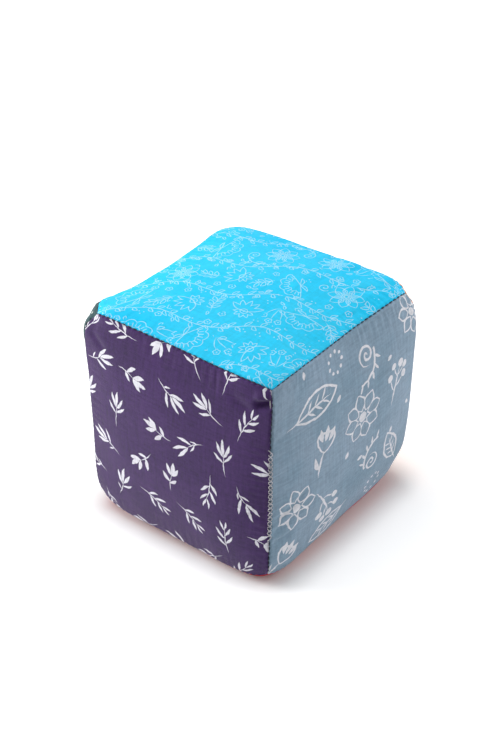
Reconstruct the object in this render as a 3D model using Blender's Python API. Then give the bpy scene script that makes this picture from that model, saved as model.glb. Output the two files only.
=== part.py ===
"""Soft fabric block: six square cotton panels, sewn edge to edge and stuffed with loose fibre.

The block stands on its base panel at the origin, with +Z up. The front panel faces -Y and the
right panel faces +X. Lengths are in metres.

Every panel is a pan: a crowned square whose four margins turn in at 45 degrees, so that the
margins of two neighbours lie face to face inside the block. A seam thread lies in the valley
between the two turned edges, and the last stretch of one upright seam is closed by hand.
"""

import math

import bmesh
import bpy
from mathutils import Vector

MM = 0.001

# The sewn shell
BLOCK_SIDE = 100 * MM  # between the seam lines of two opposite panels
CORNER_PULL = 2.5 * MM  # how far each corner is drawn in towards the block's middle
PANEL_CROWN = 6 * MM  # how far the filling swells the middle of a panel
BASE_CROWN = 4.5 * MM  # the same for the base panel, before it is pressed flat
BASE_FLAT_DEPTH = 0.5 * MM  # how much of the base's crown the block's weight presses flat

# Cloth and seams
CLOTH_THICKNESS = 0.5 * MM
SEAM_ALLOWANCE = 8 * MM  # width of the margin turned in along each edge
TOUCH_GAP = 0.3 * MM  # clearance kept between two pieces that touch
FILLING_EDGE_RADIUS = 0.2 * MM  # the filling's own rounding under a turned edge

# Machine stitching
THREAD_DIAMETER = 0.4 * MM
STITCH_LENGTH = 2.7 * MM
STITCH_RISE = 0.3 * MM  # how far the thread lifts out of the valley in each stitch
THREAD_END_STOP = 2 * MM  # bare seam left between a thread's end and the corner

# Hand stitching that closes the turning gap in the upright seam between front and right panel
CLOSING_LENGTH = 45 * MM
CLOSING_LOWER_END = 21 * MM  # from the base corner up to the first hand stitch
CLOSING_STITCH_LENGTH = 1.6 * MM
CLOSING_STITCH_HALF_WIDTH = 0.9 * MM  # how far a hand stitch reaches onto each panel
CLOSING_THREAD_DIAMETER = 0.4 * MM
CLOSING_END_GAP = 0.8 * MM  # between the hand stitches and the machine thread

# Shape of the curves, as plain exponents and counts
CORNER_SHARPNESS = 8
CROWN_ROUNDNESS = 2.6
RIM_BLEND = 6
PANEL_CELLS = 10
FOLD_STEPS = 3
FILLING_FOLD_STEPS = 1
FLAP_TURN = math.radians(135)  # from a panel's face round to its turned-in margin

# Worked out from the sizes above
HALF_SIDE = BLOCK_SIDE / 2
HALF_GAP = TOUCH_GAP / 2
FOLD_RADIUS = FILLING_EDGE_RADIUS + TOUCH_GAP + CLOTH_THICKNESS  # outside of a turned edge
FOLD_CENTRE_OUT = -(math.sqrt(2) * (HALF_GAP + FOLD_RADIUS) + FOLD_RADIUS)
FOLD_CENTRE_UP = -FOLD_RADIUS
FILLING_INSET = CLOTH_THICKNESS + TOUCH_GAP
CENTRE_HEIGHT = HALF_SIDE + BASE_CROWN - BASE_FLAT_DEPTH

# The way that each panel faces
PANEL_WAYS = {
    "top_panel": "+Z",
    "base_panel": "-Z",
    "front_panel": "-Y",
    "back_panel": "+Y",
    "left_panel": "-X",
    "right_panel": "+X",
}
# The same as an axis number and a sign, which is how a panel is told apart below
PANELS = {name: ("XYZ".index(way[1]), int(way[0] + "1")) for name, way in PANEL_WAYS.items()}
SIDE_NAMES = {face: name.split("_")[0] for name, face in PANELS.items()}

CLOTH_ROUGHNESS = 0.9
THREAD_ROUGHNESS = 0.7
COLOURS = {
    "top_panel": (0.0, 0.42, 0.83),
    "base_panel": (0.42, 0.01, 0.02),
    "front_panel": (0.075, 0.045, 0.15),
    "back_panel": (0.62, 0.17, 0.01),
    "left_panel": (0.02, 0.06, 0.06),
    "right_panel": (0.21, 0.30, 0.36),
    "filling": (0.85, 0.84, 0.81),
    "seam_thread": (0.012, 0.015, 0.03),
    "closing_thread": (0.55, 0.55, 0.55),
}


def clear_scene():
    for item in list(bpy.data.objects):
        bpy.data.objects.remove(item)


def cloth_material(name, roughness):
    """A plain finish in the piece's colour."""
    material = bpy.data.materials.new(name)
    material.use_nodes = True
    shader = material.node_tree.nodes["Principled BSDF"]
    shader.inputs["Base Color"].default_value = (*COLOURS[name], 1)
    shader.inputs["Roughness"].default_value = roughness
    shader.inputs["Metallic"].default_value = 0
    return material


def station(step):
    """Share along a seam, from -1 to 1, of one grid line. The lines crowd towards the corners."""
    even = 2 * step / PANEL_CELLS - 1
    return even * (3 - even * even) / 2


STATIONS = [station(step) for step in range(PANEL_CELLS + 1)]


def seam_reach(share):
    """How far out the seam line lies from the block's centre, at a share along the seam."""
    return HALF_SIDE - CORNER_PULL * abs(share) ** CORNER_SHARPNESS


def shoulder_angle(crown, share):
    """The slope with which a crowned panel arrives at its seam."""
    slope = crown * CROWN_ROUNDNESS / HALF_SIDE
    return math.atan(slope * (1 - abs(share) ** CROWN_ROUNDNESS))


class Skin:
    """One surface of a panel, or of the filling under it, a given depth below the cloth's outside."""

    def __init__(self, crown, inset, fold_steps, flap_depth, flat_level=None):
        self.crown = crown
        self.inset = inset
        self.radius = FOLD_RADIUS - inset
        self.fold_steps = fold_steps
        self.flap_depth = flap_depth
        self.flat_level = flat_level
        self.rows = fold_steps + 2

    def section(self, row, share):
        """(out, up) of one row of the turned edge, measured from the block's centre."""
        start = shoulder_angle(self.crown, share)
        turn = min(row / self.fold_steps, 1)
        angle = start + (FLAP_TURN - start) * turn
        inward = self.flap_depth / math.sqrt(2) if row > self.fold_steps else 0
        out = seam_reach(share) + FOLD_CENTRE_OUT + self.radius * math.sin(angle) - inward
        up = seam_reach(share) + FOLD_CENTRE_UP + self.radius * math.cos(angle) - inward
        return out, up

    def edge_point(self, row, u, v):
        """Position in the panel of a point on its border, turned in by some rows."""
        corner_out = self.section(row, 1)[0]
        if abs(u) == 1:
            out, up = self.section(row, v)
            return u * out, v * corner_out, up
        out, up = self.section(row, u)
        return u * corner_out, v * out, up

    def face_point(self, u, v):
        """Position in the panel of a point on its crowned square."""
        out_u, up_u = self.section(0, u)
        out_v, up_v = self.section(0, v)
        corner_up = self.section(0, 1)[1]
        near_u, near_v = abs(u) ** RIM_BLEND, abs(v) ** RIM_BLEND
        level = HALF_SIDE - self.inset
        height = near_u * up_v + near_v * up_u - near_u * near_v * corner_up
        height += (1 - near_u) * (1 - near_v) * level
        swell_u, swell_v = 1 - abs(u) ** CROWN_ROUNDNESS, 1 - abs(v) ** CROWN_ROUNDNESS
        height += self.crown * swell_u * swell_v
        if self.flat_level is not None:
            height = min(height, self.flat_level - self.inset)
        return u * out_v, v * out_u, height


def plane_axes(face):
    """The two axes that lie in a panel, in order."""
    return [axis for axis in range(3) if axis != face[0]]


def in_block(face, point):
    """World position of a point given as two distances in a panel and one along its outward axis."""
    first, second = plane_axes(face)
    place = Vector((0, 0, CENTRE_HEIGHT))
    place[first] += point[0]
    place[second] += point[1]
    place[face[0]] += face[1] * point[2]
    return place


def border_nodes():
    """Grid nodes round a panel's border, in order."""
    last = PANEL_CELLS
    along = [(step, 0) for step in range(last)] + [(last, step) for step in range(last)]
    back = [(last - step, last) for step in range(last)] + [(0, last - step) for step in range(last)]
    return along + back


def border_node(face, side_axis, side_sign, step):
    """The grid node on the side of a panel that meets the neighbour on side_axis."""
    extreme = PANEL_CELLS if side_sign > 0 else 0
    return (extreme, step) if plane_axes(face)[0] == side_axis else (step, extreme)


def add_skin(mesh, skin, face):
    """Adds one surface to a mesh and returns its border rows, as {(row, node): vertex}."""
    grid = {}
    for i, u in enumerate(STATIONS):
        for j, v in enumerate(STATIONS):
            inner = abs(u) < 1 and abs(v) < 1
            point = skin.face_point(u, v) if inner else skin.edge_point(0, u, v)
            grid[i, j] = mesh.verts.new(in_block(face, point))
    for i in range(PANEL_CELLS):
        for j in range(PANEL_CELLS):
            mesh.faces.new((grid[i, j], grid[i + 1, j], grid[i + 1, j + 1], grid[i, j + 1]))
    border = border_nodes()
    rows = {(0, node): grid[node] for node in border}
    for row in range(1, skin.rows):
        for i, j in border:
            point = skin.edge_point(row, STATIONS[i], STATIONS[j])
            rows[row, (i, j)] = mesh.verts.new(in_block(face, point))
        for node, after in zip(border, border[1:] + border[:1]):
            mesh.faces.new((rows[row - 1, node], rows[row - 1, after], rows[row, after], rows[row, node]))
    return rows


def finished_object(name, mesh, material):
    """Turns an edited mesh into a smooth-shaded object with its faces pointing out."""
    bmesh.ops.recalc_face_normals(mesh, faces=mesh.faces)
    data = bpy.data.meshes.new(name)
    mesh.to_mesh(data)
    mesh.free()
    data.shade_smooth()
    data.set_sharp_from_angle(angle=math.radians(50))
    data.materials.append(material)
    item = bpy.data.objects.new(name, data)
    bpy.context.collection.objects.link(item)
    return item


def panel_crown(face):
    """(crown, level that it is pressed flat at) of a panel."""
    if face == PANELS["base_panel"]:
        return BASE_CROWN, CENTRE_HEIGHT
    return PANEL_CROWN, None


def make_panel(name, face):
    """One square of cloth, crowned, with its four margins turned in."""
    crown, flat_level = panel_crown(face)
    mesh = bmesh.new()
    outside = Skin(crown, 0, FOLD_STEPS, SEAM_ALLOWANCE, flat_level)
    inside = Skin(crown, CLOTH_THICKNESS, FOLD_STEPS, SEAM_ALLOWANCE, flat_level)
    outer = add_skin(mesh, outside, face)
    inner = add_skin(mesh, inside, face)
    border, last = border_nodes(), outside.rows - 1
    for node, after in zip(border, border[1:] + border[:1]):
        mesh.faces.new((outer[last, node], outer[last, after], inner[last, after], inner[last, node]))
    return finished_object(name, mesh, cloth_material(name, CLOTH_ROUGHNESS))


def make_filling():
    """The stuffing: it fills the shell, with a slot along each edge where the margins stand in it."""
    mesh = bmesh.new()
    borders, slot_depth = {}, SEAM_ALLOWANCE + TOUCH_GAP
    for face in PANELS.values():
        crown, flat_level = panel_crown(face)
        skin = Skin(crown, FILLING_INSET, FILLING_FOLD_STEPS, slot_depth, flat_level)
        rows = add_skin(mesh, skin, face)
        borders[face] = {node: rows[skin.rows - 1, node] for node in border_nodes()}
    for face in PANELS.values():
        for neighbour in PANELS.values():
            if neighbour[0] > face[0]:
                close_slot(mesh, borders, face, neighbour)
    for signs in [(x, y, z) for x in (-1, 1) for y in (-1, 1) for z in (-1, 1)]:
        close_corner(mesh, borders, signs)
    return finished_object("filling", mesh, cloth_material("filling", CLOTH_ROUGHNESS))


def close_slot(mesh, borders, face, neighbour):
    """Joins two faces of the filling along the bottom of the slot between them."""
    for step in range(PANEL_CELLS):
        near = [borders[face][border_node(face, *neighbour, step + k)] for k in (0, 1)]
        far = [borders[neighbour][border_node(neighbour, *face, step + k)] for k in (0, 1)]
        mesh.faces.new((near[0], near[1], far[1], far[0]))


def close_corner(mesh, borders, signs):
    """Closes the filling where three slots meet."""
    corner = []
    for axis, sign in enumerate(signs):
        face = (axis, sign)
        first, second = [PANEL_CELLS if signs[other] > 0 else 0 for other in plane_axes(face)]
        corner.append(borders[face][first, second])
    mesh.faces.new(corner)


class Seam:
    """The valley between the turned edges of two panels, which runs along the third axis."""

    def __init__(self, first, second):
        self.along = 3 - first[0] - second[0]
        self.first_way, self.second_way = Vector((0, 0, 0)), Vector((0, 0, 0))
        self.first_way[first[0]] = first[1]
        self.second_way[second[0]] = second[1]
        self.outward = (self.first_way + self.second_way) / math.sqrt(2)
        self.across = (self.first_way - self.second_way) / math.sqrt(2)
        self.half_length = seam_reach(1) + FOLD_CENTRE_OUT

    def reach(self, share):
        """The seam's reach on the straight run between the two grid lines nearest to share."""
        upper = next(k for k in range(1, PANEL_CELLS + 1) if share <= STATIONS[k])
        low, high = STATIONS[upper - 1], STATIONS[upper]
        part = (share - low) / (high - low)
        return seam_reach(low) + (seam_reach(high) - seam_reach(low)) * part

    def point(self, place, side, rise):
        """World position at a distance along the seam from its middle, off to one side and above the folds' centres."""
        reach = self.reach(place / self.half_length)
        depth = (FOLD_CENTRE_OUT + FOLD_CENTRE_UP) / math.sqrt(2)
        spot = Vector((0, 0, CENTRE_HEIGHT)) + (self.first_way + self.second_way) * reach
        spot += self.outward * (depth + rise) + self.across * side
        spot[self.along] += place
        return spot


def thread_object(name, points, diameter, material):
    """A thread of the given diameter through a run of points."""
    curve = bpy.data.curves.new(name, "CURVE")
    curve.dimensions = "3D"
    curve.bevel_depth = diameter / 2
    curve.bevel_resolution = 0
    curve.use_fill_caps = True
    spline = curve.splines.new("POLY")
    spline.points.add(len(points) - 1)
    for knot, point in zip(spline.points, points):
        knot.co = (*point, 1)
    curve.materials.append(material)
    item = bpy.data.objects.new(name, curve)
    bpy.context.collection.objects.link(item)
    return item


def machine_thread(name, seam, start, end, material):
    """A row of machine stitches: the thread sinks into the valley and lifts out once per stitch."""
    centres_apart = HALF_GAP + FOLD_RADIUS
    seat = math.sqrt((FOLD_RADIUS + TOUCH_GAP + THREAD_DIAMETER / 2) ** 2 - centres_apart**2)
    half_stitches = 2 * max(1, round((end - start) / STITCH_LENGTH))
    points = []
    for step in range(half_stitches + 1):
        place = start + (end - start) * step / half_stitches
        points.append(seam.point(place, 0, seat + STITCH_RISE * (step % 2)))
    return thread_object(name, points, THREAD_DIAMETER, material)


def closing_thread(seam, start, end, material):
    """Hand stitches that cross from one turned edge to the other, over the valley."""
    rise = FOLD_RADIUS + TOUCH_GAP + CLOSING_THREAD_DIAMETER / 2
    half_stitches = 2 * max(1, round((end - start) / CLOSING_STITCH_LENGTH))
    points = []
    for step in range(half_stitches + 1):
        place = start + (end - start) * step / half_stitches
        side = CLOSING_STITCH_HALF_WIDTH * (1 if step % 2 else -1)
        points.append(seam.point(place, side, rise))
    return thread_object("closing_thread", points, CLOSING_THREAD_DIAMETER, material)


def make_threads():
    """One thread in each seam. The upright seam by the closing has two, above and below it."""
    machine = cloth_material("seam_thread", THREAD_ROUGHNESS)
    hand = cloth_material("closing_thread", THREAD_ROUGHNESS)
    faces = list(PANELS.values())
    pairs = [(a, b) for k, a in enumerate(faces) for b in faces[k + 1 :] if a[0] != b[0]]
    for first, second in pairs:
        seam = Seam(first, second)
        name = f"seam_thread_{SIDE_NAMES[first]}_{SIDE_NAMES[second]}"
        end = seam.half_length - THREAD_END_STOP
        if {first, second} != {PANELS["front_panel"], PANELS["right_panel"]}:
            machine_thread(name, seam, -end, end, machine)
            continue
        closing_start = CLOSING_LOWER_END - seam.half_length
        closing_end = closing_start + CLOSING_LENGTH
        machine_thread(name + "_lower", seam, -end, closing_start - CLOSING_END_GAP, machine)
        machine_thread(name + "_upper", seam, closing_end + CLOSING_END_GAP, end, machine)
        closing_thread(seam, closing_start, closing_end, hand)


def main():
    clear_scene()
    for name, face in PANELS.items():
        make_panel(name, face)
    make_filling()
    make_threads()


main()
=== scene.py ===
# %% [markdown]
# # A soft fabric block
# The real block is six squares of printed cotton and linen, sewn edge to edge with their margins
# turned in, stuffed with loose fibre, and closed by hand along one upright seam. Each square
# is a thin closed mesh here, and its swell and seam puckers come from a cloth simulation of the
# whole sewn shell. The prints and weaves are procedural, so they stay sharp at any distance.

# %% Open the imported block
import collections
import functools
import math
import time

import bmesh
import bpy
import numpy as np
from mathutils import Matrix, Vector, noise
from mathutils.bvhtree import BVHTree


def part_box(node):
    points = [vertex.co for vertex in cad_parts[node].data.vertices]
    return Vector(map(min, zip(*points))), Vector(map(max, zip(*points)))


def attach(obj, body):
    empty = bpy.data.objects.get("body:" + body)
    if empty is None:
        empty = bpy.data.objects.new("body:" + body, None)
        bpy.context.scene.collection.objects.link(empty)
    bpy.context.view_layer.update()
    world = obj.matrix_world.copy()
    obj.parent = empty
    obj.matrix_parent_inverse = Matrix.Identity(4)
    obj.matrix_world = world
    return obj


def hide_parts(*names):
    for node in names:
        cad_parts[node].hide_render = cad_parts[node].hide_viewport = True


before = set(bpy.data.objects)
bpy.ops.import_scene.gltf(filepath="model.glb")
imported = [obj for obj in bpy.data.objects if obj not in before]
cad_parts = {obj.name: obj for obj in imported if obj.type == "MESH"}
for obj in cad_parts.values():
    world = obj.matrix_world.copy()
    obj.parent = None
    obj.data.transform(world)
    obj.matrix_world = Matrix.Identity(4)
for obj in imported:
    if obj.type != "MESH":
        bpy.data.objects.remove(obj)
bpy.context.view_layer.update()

MM = 0.001
started = time.time()
print("nodes in the frame:", len(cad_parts))

# %% [markdown]
# ## The sizes that everything follows
# The seam lines of two opposite squares are 100 mm apart. Where a size decides where things lie,
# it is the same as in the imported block, and the block's middle is read from the frame. The folds
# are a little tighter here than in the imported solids, as thin cloth folds.

# %% Name the block's sizes
BLOCK_SIDE = 100 * MM  # between the seam lines of two opposite panels
CORNER_PULL = 2.5 * MM  # how far each corner is drawn in
CORNER_SHARPNESS = 8  # the higher, the later a seam turns in to its corner
PANEL_CROWN = 6 * MM  # swell of a panel's middle
BASE_CROWN = 4.5 * MM  # the same for the base, before the table presses it flat
CROWN_ROUNDNESS = 2.6
BASE_ROUNDNESS = 6  # the filling's weight makes the base bulge close beside its seams
BASE_STEEPNESS = 0.5  # below 1, a face leaves its seam more steeply
FAR_ROUNDNESS = 5  # the left and the back bulge like that too, and show beside the top's edges
FAR_STEEPNESS = 0.55
RIM_BLEND = 6  # the higher, the closer to a seam a face takes on its turned edge's height
RIM_STEP = 0.6 * MM  # a face's slope at its seam is taken over this distance
CLOTH_THICKNESS = 0.4 * MM
SEAM_ALLOWANCE = 8 * MM  # margin turned in along each edge
FOLD_RADIUS = 0.75 * MM  # outside of a turned edge
HALF_GAP = 0.03 * MM  # half the space between two turned edges
FLAP_TURN = math.radians(135)  # from a panel's face round to its margin
STITCH_LENGTH = 2.7 * MM  # from one machine stitch to the next
STITCH_PINCH = 0.38 * MM  # how far each stitch draws the folds in

HALF_SIDE = BLOCK_SIDE / 2
FOLD_CENTRE_OUT = -(math.sqrt(2) * (HALF_GAP + FOLD_RADIUS) + FOLD_RADIUS)
FOLD_CENTRE_UP = -FOLD_RADIUS
SEAM_HALF = HALF_SIDE - CORNER_PULL + FOLD_CENTRE_OUT  # half the length of a seam
FACE_HALF = HALF_SIDE - FOLD_RADIUS * FLAP_TURN  # half a panel's face, in its flat cut
CENTRE_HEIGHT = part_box("top_panel")[1].z - PANEL_CROWN - HALF_SIDE

# A panel is named by the axis that it looks along and which way along it
PANELS = {
    "top": (2, 1),
    "base": (2, -1),
    "front": (1, -1),
    "back": (1, 1),
    "left": (0, -1),
    "right": (0, 1),
}

# How a face swells: its height, how flat its middle is, how steep its rim is, and where it is pressed flat
Crown = collections.namedtuple("Crown", "height roundness steepness level")
PANEL_SWELL = Crown(PANEL_CROWN, CROWN_ROUNDNESS, 1, None)
FAR_SWELL = Crown(PANEL_CROWN, FAR_ROUNDNESS, FAR_STEEPNESS, None)
BASE_SWELL = Crown(BASE_CROWN, BASE_ROUNDNESS, BASE_STEEPNESS, CENTRE_HEIGHT)
SWELLS = {"left": FAR_SWELL, "back": FAR_SWELL, "base": BASE_SWELL}

# %% [markdown]
# ## Points on a sewn square
# A panel is a crowned square. At its border the cloth rolls over a small fold and turns in at 45
# degrees, where its margin lies against its neighbour's. One formula gives the face and the rolled
# edge, so that neighbours always meet. The points stand closer together near the corners, where
# puckers need them. Each machine stitch draws the two folds in a little, which gives a sewn edge
# its fine scallops.

# %% Work out the face and the turned edge
CROWDING = 0.2  # how much closer the points stand at a seam's ends than in its middle


def stations(cells):
    """Shares along a seam, from -1 to 1."""
    even = np.linspace(-1, 1, cells + 1)
    return even * (1 + CROWDING * (1 - even**2))


def seam_reach(share):
    """How far out a seam lies from the block's middle."""
    return HALF_SIDE - CORNER_PULL * np.abs(share) ** CORNER_SHARPNESS


def swell(share, crown):
    """Share of a crown's height, at a share of the way from a face's middle to its seam."""
    return (1 - np.abs(share) ** crown.roundness) ** crown.steepness


def rim_angle(share, crown):
    """How steeply a face leaves its turned edge."""
    rise = crown.height * swell(1 - RIM_STEP / HALF_SIDE, crown)
    return np.arctan(rise / RIM_STEP * swell(share, crown))


def pinch(share):
    """How far the stitches draw a fold in, at a share along its seam."""
    turns = share * SEAM_HALF / STITCH_LENGTH
    return STITCH_PINCH * (0.5 - 0.5 * np.cos(2 * np.pi * turns)) * (1 - share**12)


def edge_section(share, crown, turn, radius, inward):
    """(out, up) on the rolled edge: turn runs from 0 at the face to 1 at the margin."""
    start = rim_angle(share, crown)
    angle = start + (FLAP_TURN - start) * turn
    inward = inward + pinch(share) / math.sqrt(2) * math.sin(math.pi * turn)
    out = seam_reach(share) + FOLD_CENTRE_OUT + radius * np.sin(angle) - inward
    return out, seam_reach(share) + FOLD_CENTRE_UP + radius * np.cos(angle) - inward


def face_points(cells, crown, inset):
    """A panel's crowned face, as two distances in the panel and one outwards."""
    share = stations(cells)
    u, v = np.meshgrid(share, share, indexing="ij")
    radius = FOLD_RADIUS - inset
    (out_u, up_u), (out_v, up_v) = [edge_section(s, crown, 0, radius, 0) for s in (u, v)]
    corner_up = edge_section(1.0, crown, 0, radius, 0)[1]
    near_u, near_v = np.abs(u) ** RIM_BLEND, np.abs(v) ** RIM_BLEND
    height = near_u * up_v + near_v * up_u - near_u * near_v * corner_up
    height += (1 - near_u) * (1 - near_v) * (HALF_SIDE - inset)
    height += crown.height * swell(u, crown) * swell(v, crown)
    if crown.level is not None:
        height = np.minimum(height, crown.level - inset)
    return np.stack([u * out_v, v * out_u, height], axis=-1)


def border_steps(cells):
    """Grid steps round a panel's border, in order."""
    run, last = np.arange(cells), np.full(cells, cells)
    zero = np.zeros(cells, int)
    i = np.concatenate([run, last, cells - run, zero])
    j = np.concatenate([zero, run, last, cells - run])
    return i, j


def edge_ring(cells, crown, inset, turn, inward):
    """One ring of points round a panel, turned in by some share and pushed inwards."""
    share = stations(cells)
    i, j = border_steps(cells)
    u, v = share[i], share[j]
    radius = FOLD_RADIUS - inset
    corner_out = edge_section(1.0, crown, turn, radius, inward)[0]
    on_u = np.abs(u) == 1
    out, up = edge_section(np.where(on_u, v, u), crown, turn, radius, inward)
    return np.stack([u * np.where(on_u, out, corner_out), v * np.where(on_u, corner_out, out), up], axis=-1)


def plane_axes(face):
    return [axis for axis in range(3) if axis != face[0]]


def in_block(face, points):
    """World places of points given in a panel's own directions."""
    first, second = plane_axes(face)
    world = np.zeros(points.shape)
    world[..., first], world[..., second] = points[..., 0], points[..., 1]
    world[..., face[0]] = face[1] * points[..., 2]
    return world + (0, 0, CENTRE_HEIGHT)


def crown_of(face):
    return next((crown for name, crown in SWELLS.items() if face == PANELS[name]), PANEL_SWELL)


print(f"a seam is {2 * SEAM_HALF / MM:.1f} mm long, about {2 * SEAM_HALF / STITCH_LENGTH:.0f} stitches")

# %% [markdown]
# ## A block that is not quite a cube
# Hand-cut squares are never quite equal, so a sewn block leans and flares a little. The lean is
# given in millimetres at the corners and at the middles of some edges, and spread over the block
# between them by the same shape functions that engineers use for a brick with twenty nodes. Where
# a seam sinks into the filling, a soft local tuck is added. Points near the table keep their
# place, so the block still stands flat.

# %% Spread the lean over the block
LEAN = {  # millimetres, at corners and edge middles named by their sides along the three axes
    (-1, -1, 1): (-4.5, -0.5, 2.5),
    (-1, 1, 1): (-1, -1, 0),
    (1, -1, 1): (0.5, 0.5, 0.5),
    (1, 1, 1): (2.8, 1.4, 1.2),
    (-1, -1, -1): (-0.5, 0, -0.5),
    (1, -1, -1): (-1, -1, -2),
    (1, 1, -1): (-1, 1.5, 2),
    (-1, 0, 1): (2, 0, -2.5),
    (1, 0, 1): (-0.5, -0.5, -0.5),
    (0, -1, 1): (0.5, 0.5, 0),
    (1, 1, 0): (3, 0.5, -1.5),
    (1, -1, 0): (0, -1, -1),
    (0, -1, -1): (0, -1.5, -1),
    (1, 0, -1): (-0.5, 1, 3),
}
TUCKS = [  # place, reach and shift where the seams sink into the filling, in millimetres
    ((-49, -49, 49), 6.5, (4.6, 0.5, -0.5)),
    ((-50, -28, 50), 16, (0, 0, -2.2)),
    ((49, 49, 49), 5, (-0.3, -1.8, -0.3)),
]
TABLE_REACH = 4 * MM  # up to this height the table holds the cloth more or less in its place
LEAN_STOP = 1.1  # the lean grows no further beyond this many half sides from the middle


def influence(sides, place):
    """How much a corner or an edge's middle moves a place, which is given in half sides."""
    product = np.prod([1 + side * place[:, axis] if side else 1 - place[:, axis] ** 2
                       for axis, side in enumerate(sides)], axis=0)
    if 0 in sides:
        return product / 4
    return product * (place @ np.array(sides) - 2) / 8


def free_of_table(points):
    """0 on the table, 1 from some height up."""
    return np.clip(points[:, 2] / TABLE_REACH, 0, 1)[:, None]


def lean(points):
    """How far the block's unequal squares move each point."""
    place = points - (0, 0, CENTRE_HEIGHT)
    share = np.clip(place / HALF_SIDE, -LEAN_STOP, LEAN_STOP)
    moved = sum(influence(sides, share)[:, None] * np.array(way) * MM for sides, way in LEAN.items())
    for middle, reach, way in TUCKS:
        away = np.linalg.norm(place / MM - middle, axis=1, keepdims=True) / reach
        moved += np.exp(-(away**2)) * np.array(way) * MM
    return moved * free_of_table(points)


print(f"the block leans by up to {max(np.linalg.norm(way) for way in LEAN.values()):.1f} mm at a corner")

# %% [markdown]
# ## The sewn shell in the cloth simulator
# Sewing draws a seam up a little, so the cloth beside it has more length than the thread lets it
# use, and it puckers. The simulation copies that: the shell is one closed cloth, its seams are
# held, the cloth near them grows by a few per cent, and air pressure stands in for the filling.
# Painted puckers were the other way, but they never run into the corners as these do.

# %% Lay out the shell
SHELL_CELLS = 80
FINE_CELLS = 2 * SHELL_CELLS
START_CROWN = 0.86  # the shell starts a little slack, because the pressure swells it
TABLE_NEARNESS = 0.5 * MM  # below this height a point of the shell lies on the table
LUMP_SIZE = 34 * MM
LUMP_HEIGHT = 0.9 * MM
FINE_LUMP_SIZE = 13 * MM
FINE_LUMP_HEIGHT = 0.25 * MM
LUMP_SEED = 1795986234  # a fixed draw of lumps; unseeded, it follows the clock

noise.seed_set(LUMP_SEED)


def unevenness(points):
    """A soft random shift: hand sewing is never quite straight and fibre never quite even."""
    coarse = [noise.noise_vector(Vector(p) / LUMP_SIZE) for p in points]
    fine = [noise.noise_vector(Vector(p) / FINE_LUMP_SIZE) for p in points]
    return np.array(coarse) * LUMP_HEIGHT + np.array(fine) * FINE_LUMP_HEIGHT


def shell_face(face, crown_share):
    """A panel's face carried on to its seam lines, where neighbours share their points."""
    crown = crown_of(face)
    share = stations(SHELL_CELLS)
    u, v = np.meshgrid(share, share, indexing="ij")
    near_u, near_v = np.abs(u) ** RIM_BLEND, np.abs(v) ** RIM_BLEND
    height = near_u * seam_reach(v) + near_v * seam_reach(u) - near_u * near_v * seam_reach(1.0)
    height += (1 - near_u) * (1 - near_v) * HALF_SIDE
    height += crown_share * crown.height * swell(u, crown) * swell(v, crown)
    if crown.level is not None:
        height = np.minimum(height, crown.level)
    return in_block(face, np.stack([u * seam_reach(v), v * seam_reach(u), height], axis=-1))


def lattice(face, cells):
    """Whole-number places of a panel's points on the shell, which neighbours share."""
    first, second = plane_axes(face)
    i, j = np.meshgrid(np.arange(cells + 1), np.arange(cells + 1), indexing="ij")
    place = np.full((*i.shape, 3), cells if face[1] > 0 else 0)
    place[..., first], place[..., second] = i, j
    return place


def quads_of(index, turned):
    """Four-cornered faces of a grid of point numbers."""
    corners = [index[:-1, :-1], index[1:, :-1], index[1:, 1:], index[:-1, 1:]]
    quads = np.stack(corners[::-1] if turned else corners, axis=-1)
    return quads.reshape(-1, 4)


def turned(face):
    """True where a panel's grid winds the wrong way round to face outwards."""
    return face[1] * (-1 if face[0] == 1 else 1) < 0


all_places = np.concatenate([lattice(face, SHELL_CELLS).reshape(-1, 3) for face in PANELS.values()])
_, first_use, point_number = np.unique(all_places, axis=0, return_index=True, return_inverse=True)
point_number = point_number.reshape(len(PANELS), SHELL_CELLS + 1, SHELL_CELLS + 1)
shell_index = dict(zip(PANELS.values(), point_number))
shell_places = all_places[first_use]
plain = np.concatenate([shell_face(f, 1).reshape(-1, 3) for f in PANELS.values()])[first_use]
slack = np.concatenate([shell_face(f, START_CROWN).reshape(-1, 3) for f in PANELS.values()])[first_use]
shell_quads = np.concatenate([quads_of(shell_index[f], turned(f)) for f in PANELS.values()])
on_table = plain[:, 2] < TABLE_NEARNESS
uneven = lean(plain) + unevenness(plain) * free_of_table(plain)
slack = slack + uneven
print(f"the shell has {len(slack)} points, {on_table.sum()} of them on the table")

# %% [markdown]
# ## Letting the cloth settle
# Ten frames are enough for the pressure to swell the slack shell and for the extra length beside
# the seams to buckle. The extra length comes in patches, because no one sews quite evenly, and
# it fades towards the table, where the block's weight pulls the cloth smooth. The cloth doesn't
# collide with itself, since each pucker is only a few tenths of a millimetre high.

# %% Let the cloth settle
EASE = 0.016  # extra length of the cloth beside a seam
EASE_REACH = 10 * MM  # how far from the seam the extra length goes
PUCKER_PATCH = 19 * MM  # puckers come in patches of about this size
PUCKER_CONTRAST = 1.5  # the higher, the sharper a patch with puckers parts from one without
PUCKER_START = 25 * MM  # the block's weight pulls the cloth smooth up to this height
SETTLE_FRAMES = 10
SETTLE_QUALITY = 6  # steps in each frame
MOST_SHIFT = 3.0 * MM  # further than this the simulation may not move a point
FILLING_PRESSURE = 260
POINT_MASS = 0.0001  # kilograms at each point of the shell
STRETCH_STIFFNESS = 20
SHEAR_STIFFNESS = 10
BENDING_STIFFNESS = 0.02


def mesh_object(name, points, faces):
    data = bpy.data.meshes.new(name)
    data.from_pydata(np.asarray(points).tolist(), [], np.asarray(faces).tolist())
    data.shade_smooth()
    item = bpy.data.objects.new(name, data)
    bpy.context.collection.objects.link(item)
    return item


def weigh(item, name, weights):
    """A vertex group with the given weights."""
    group = item.vertex_groups.new(name=name)
    for number in np.flatnonzero(weights > 0):
        group.add([int(number)], float(weights[number]), "REPLACE")
    return name


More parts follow.
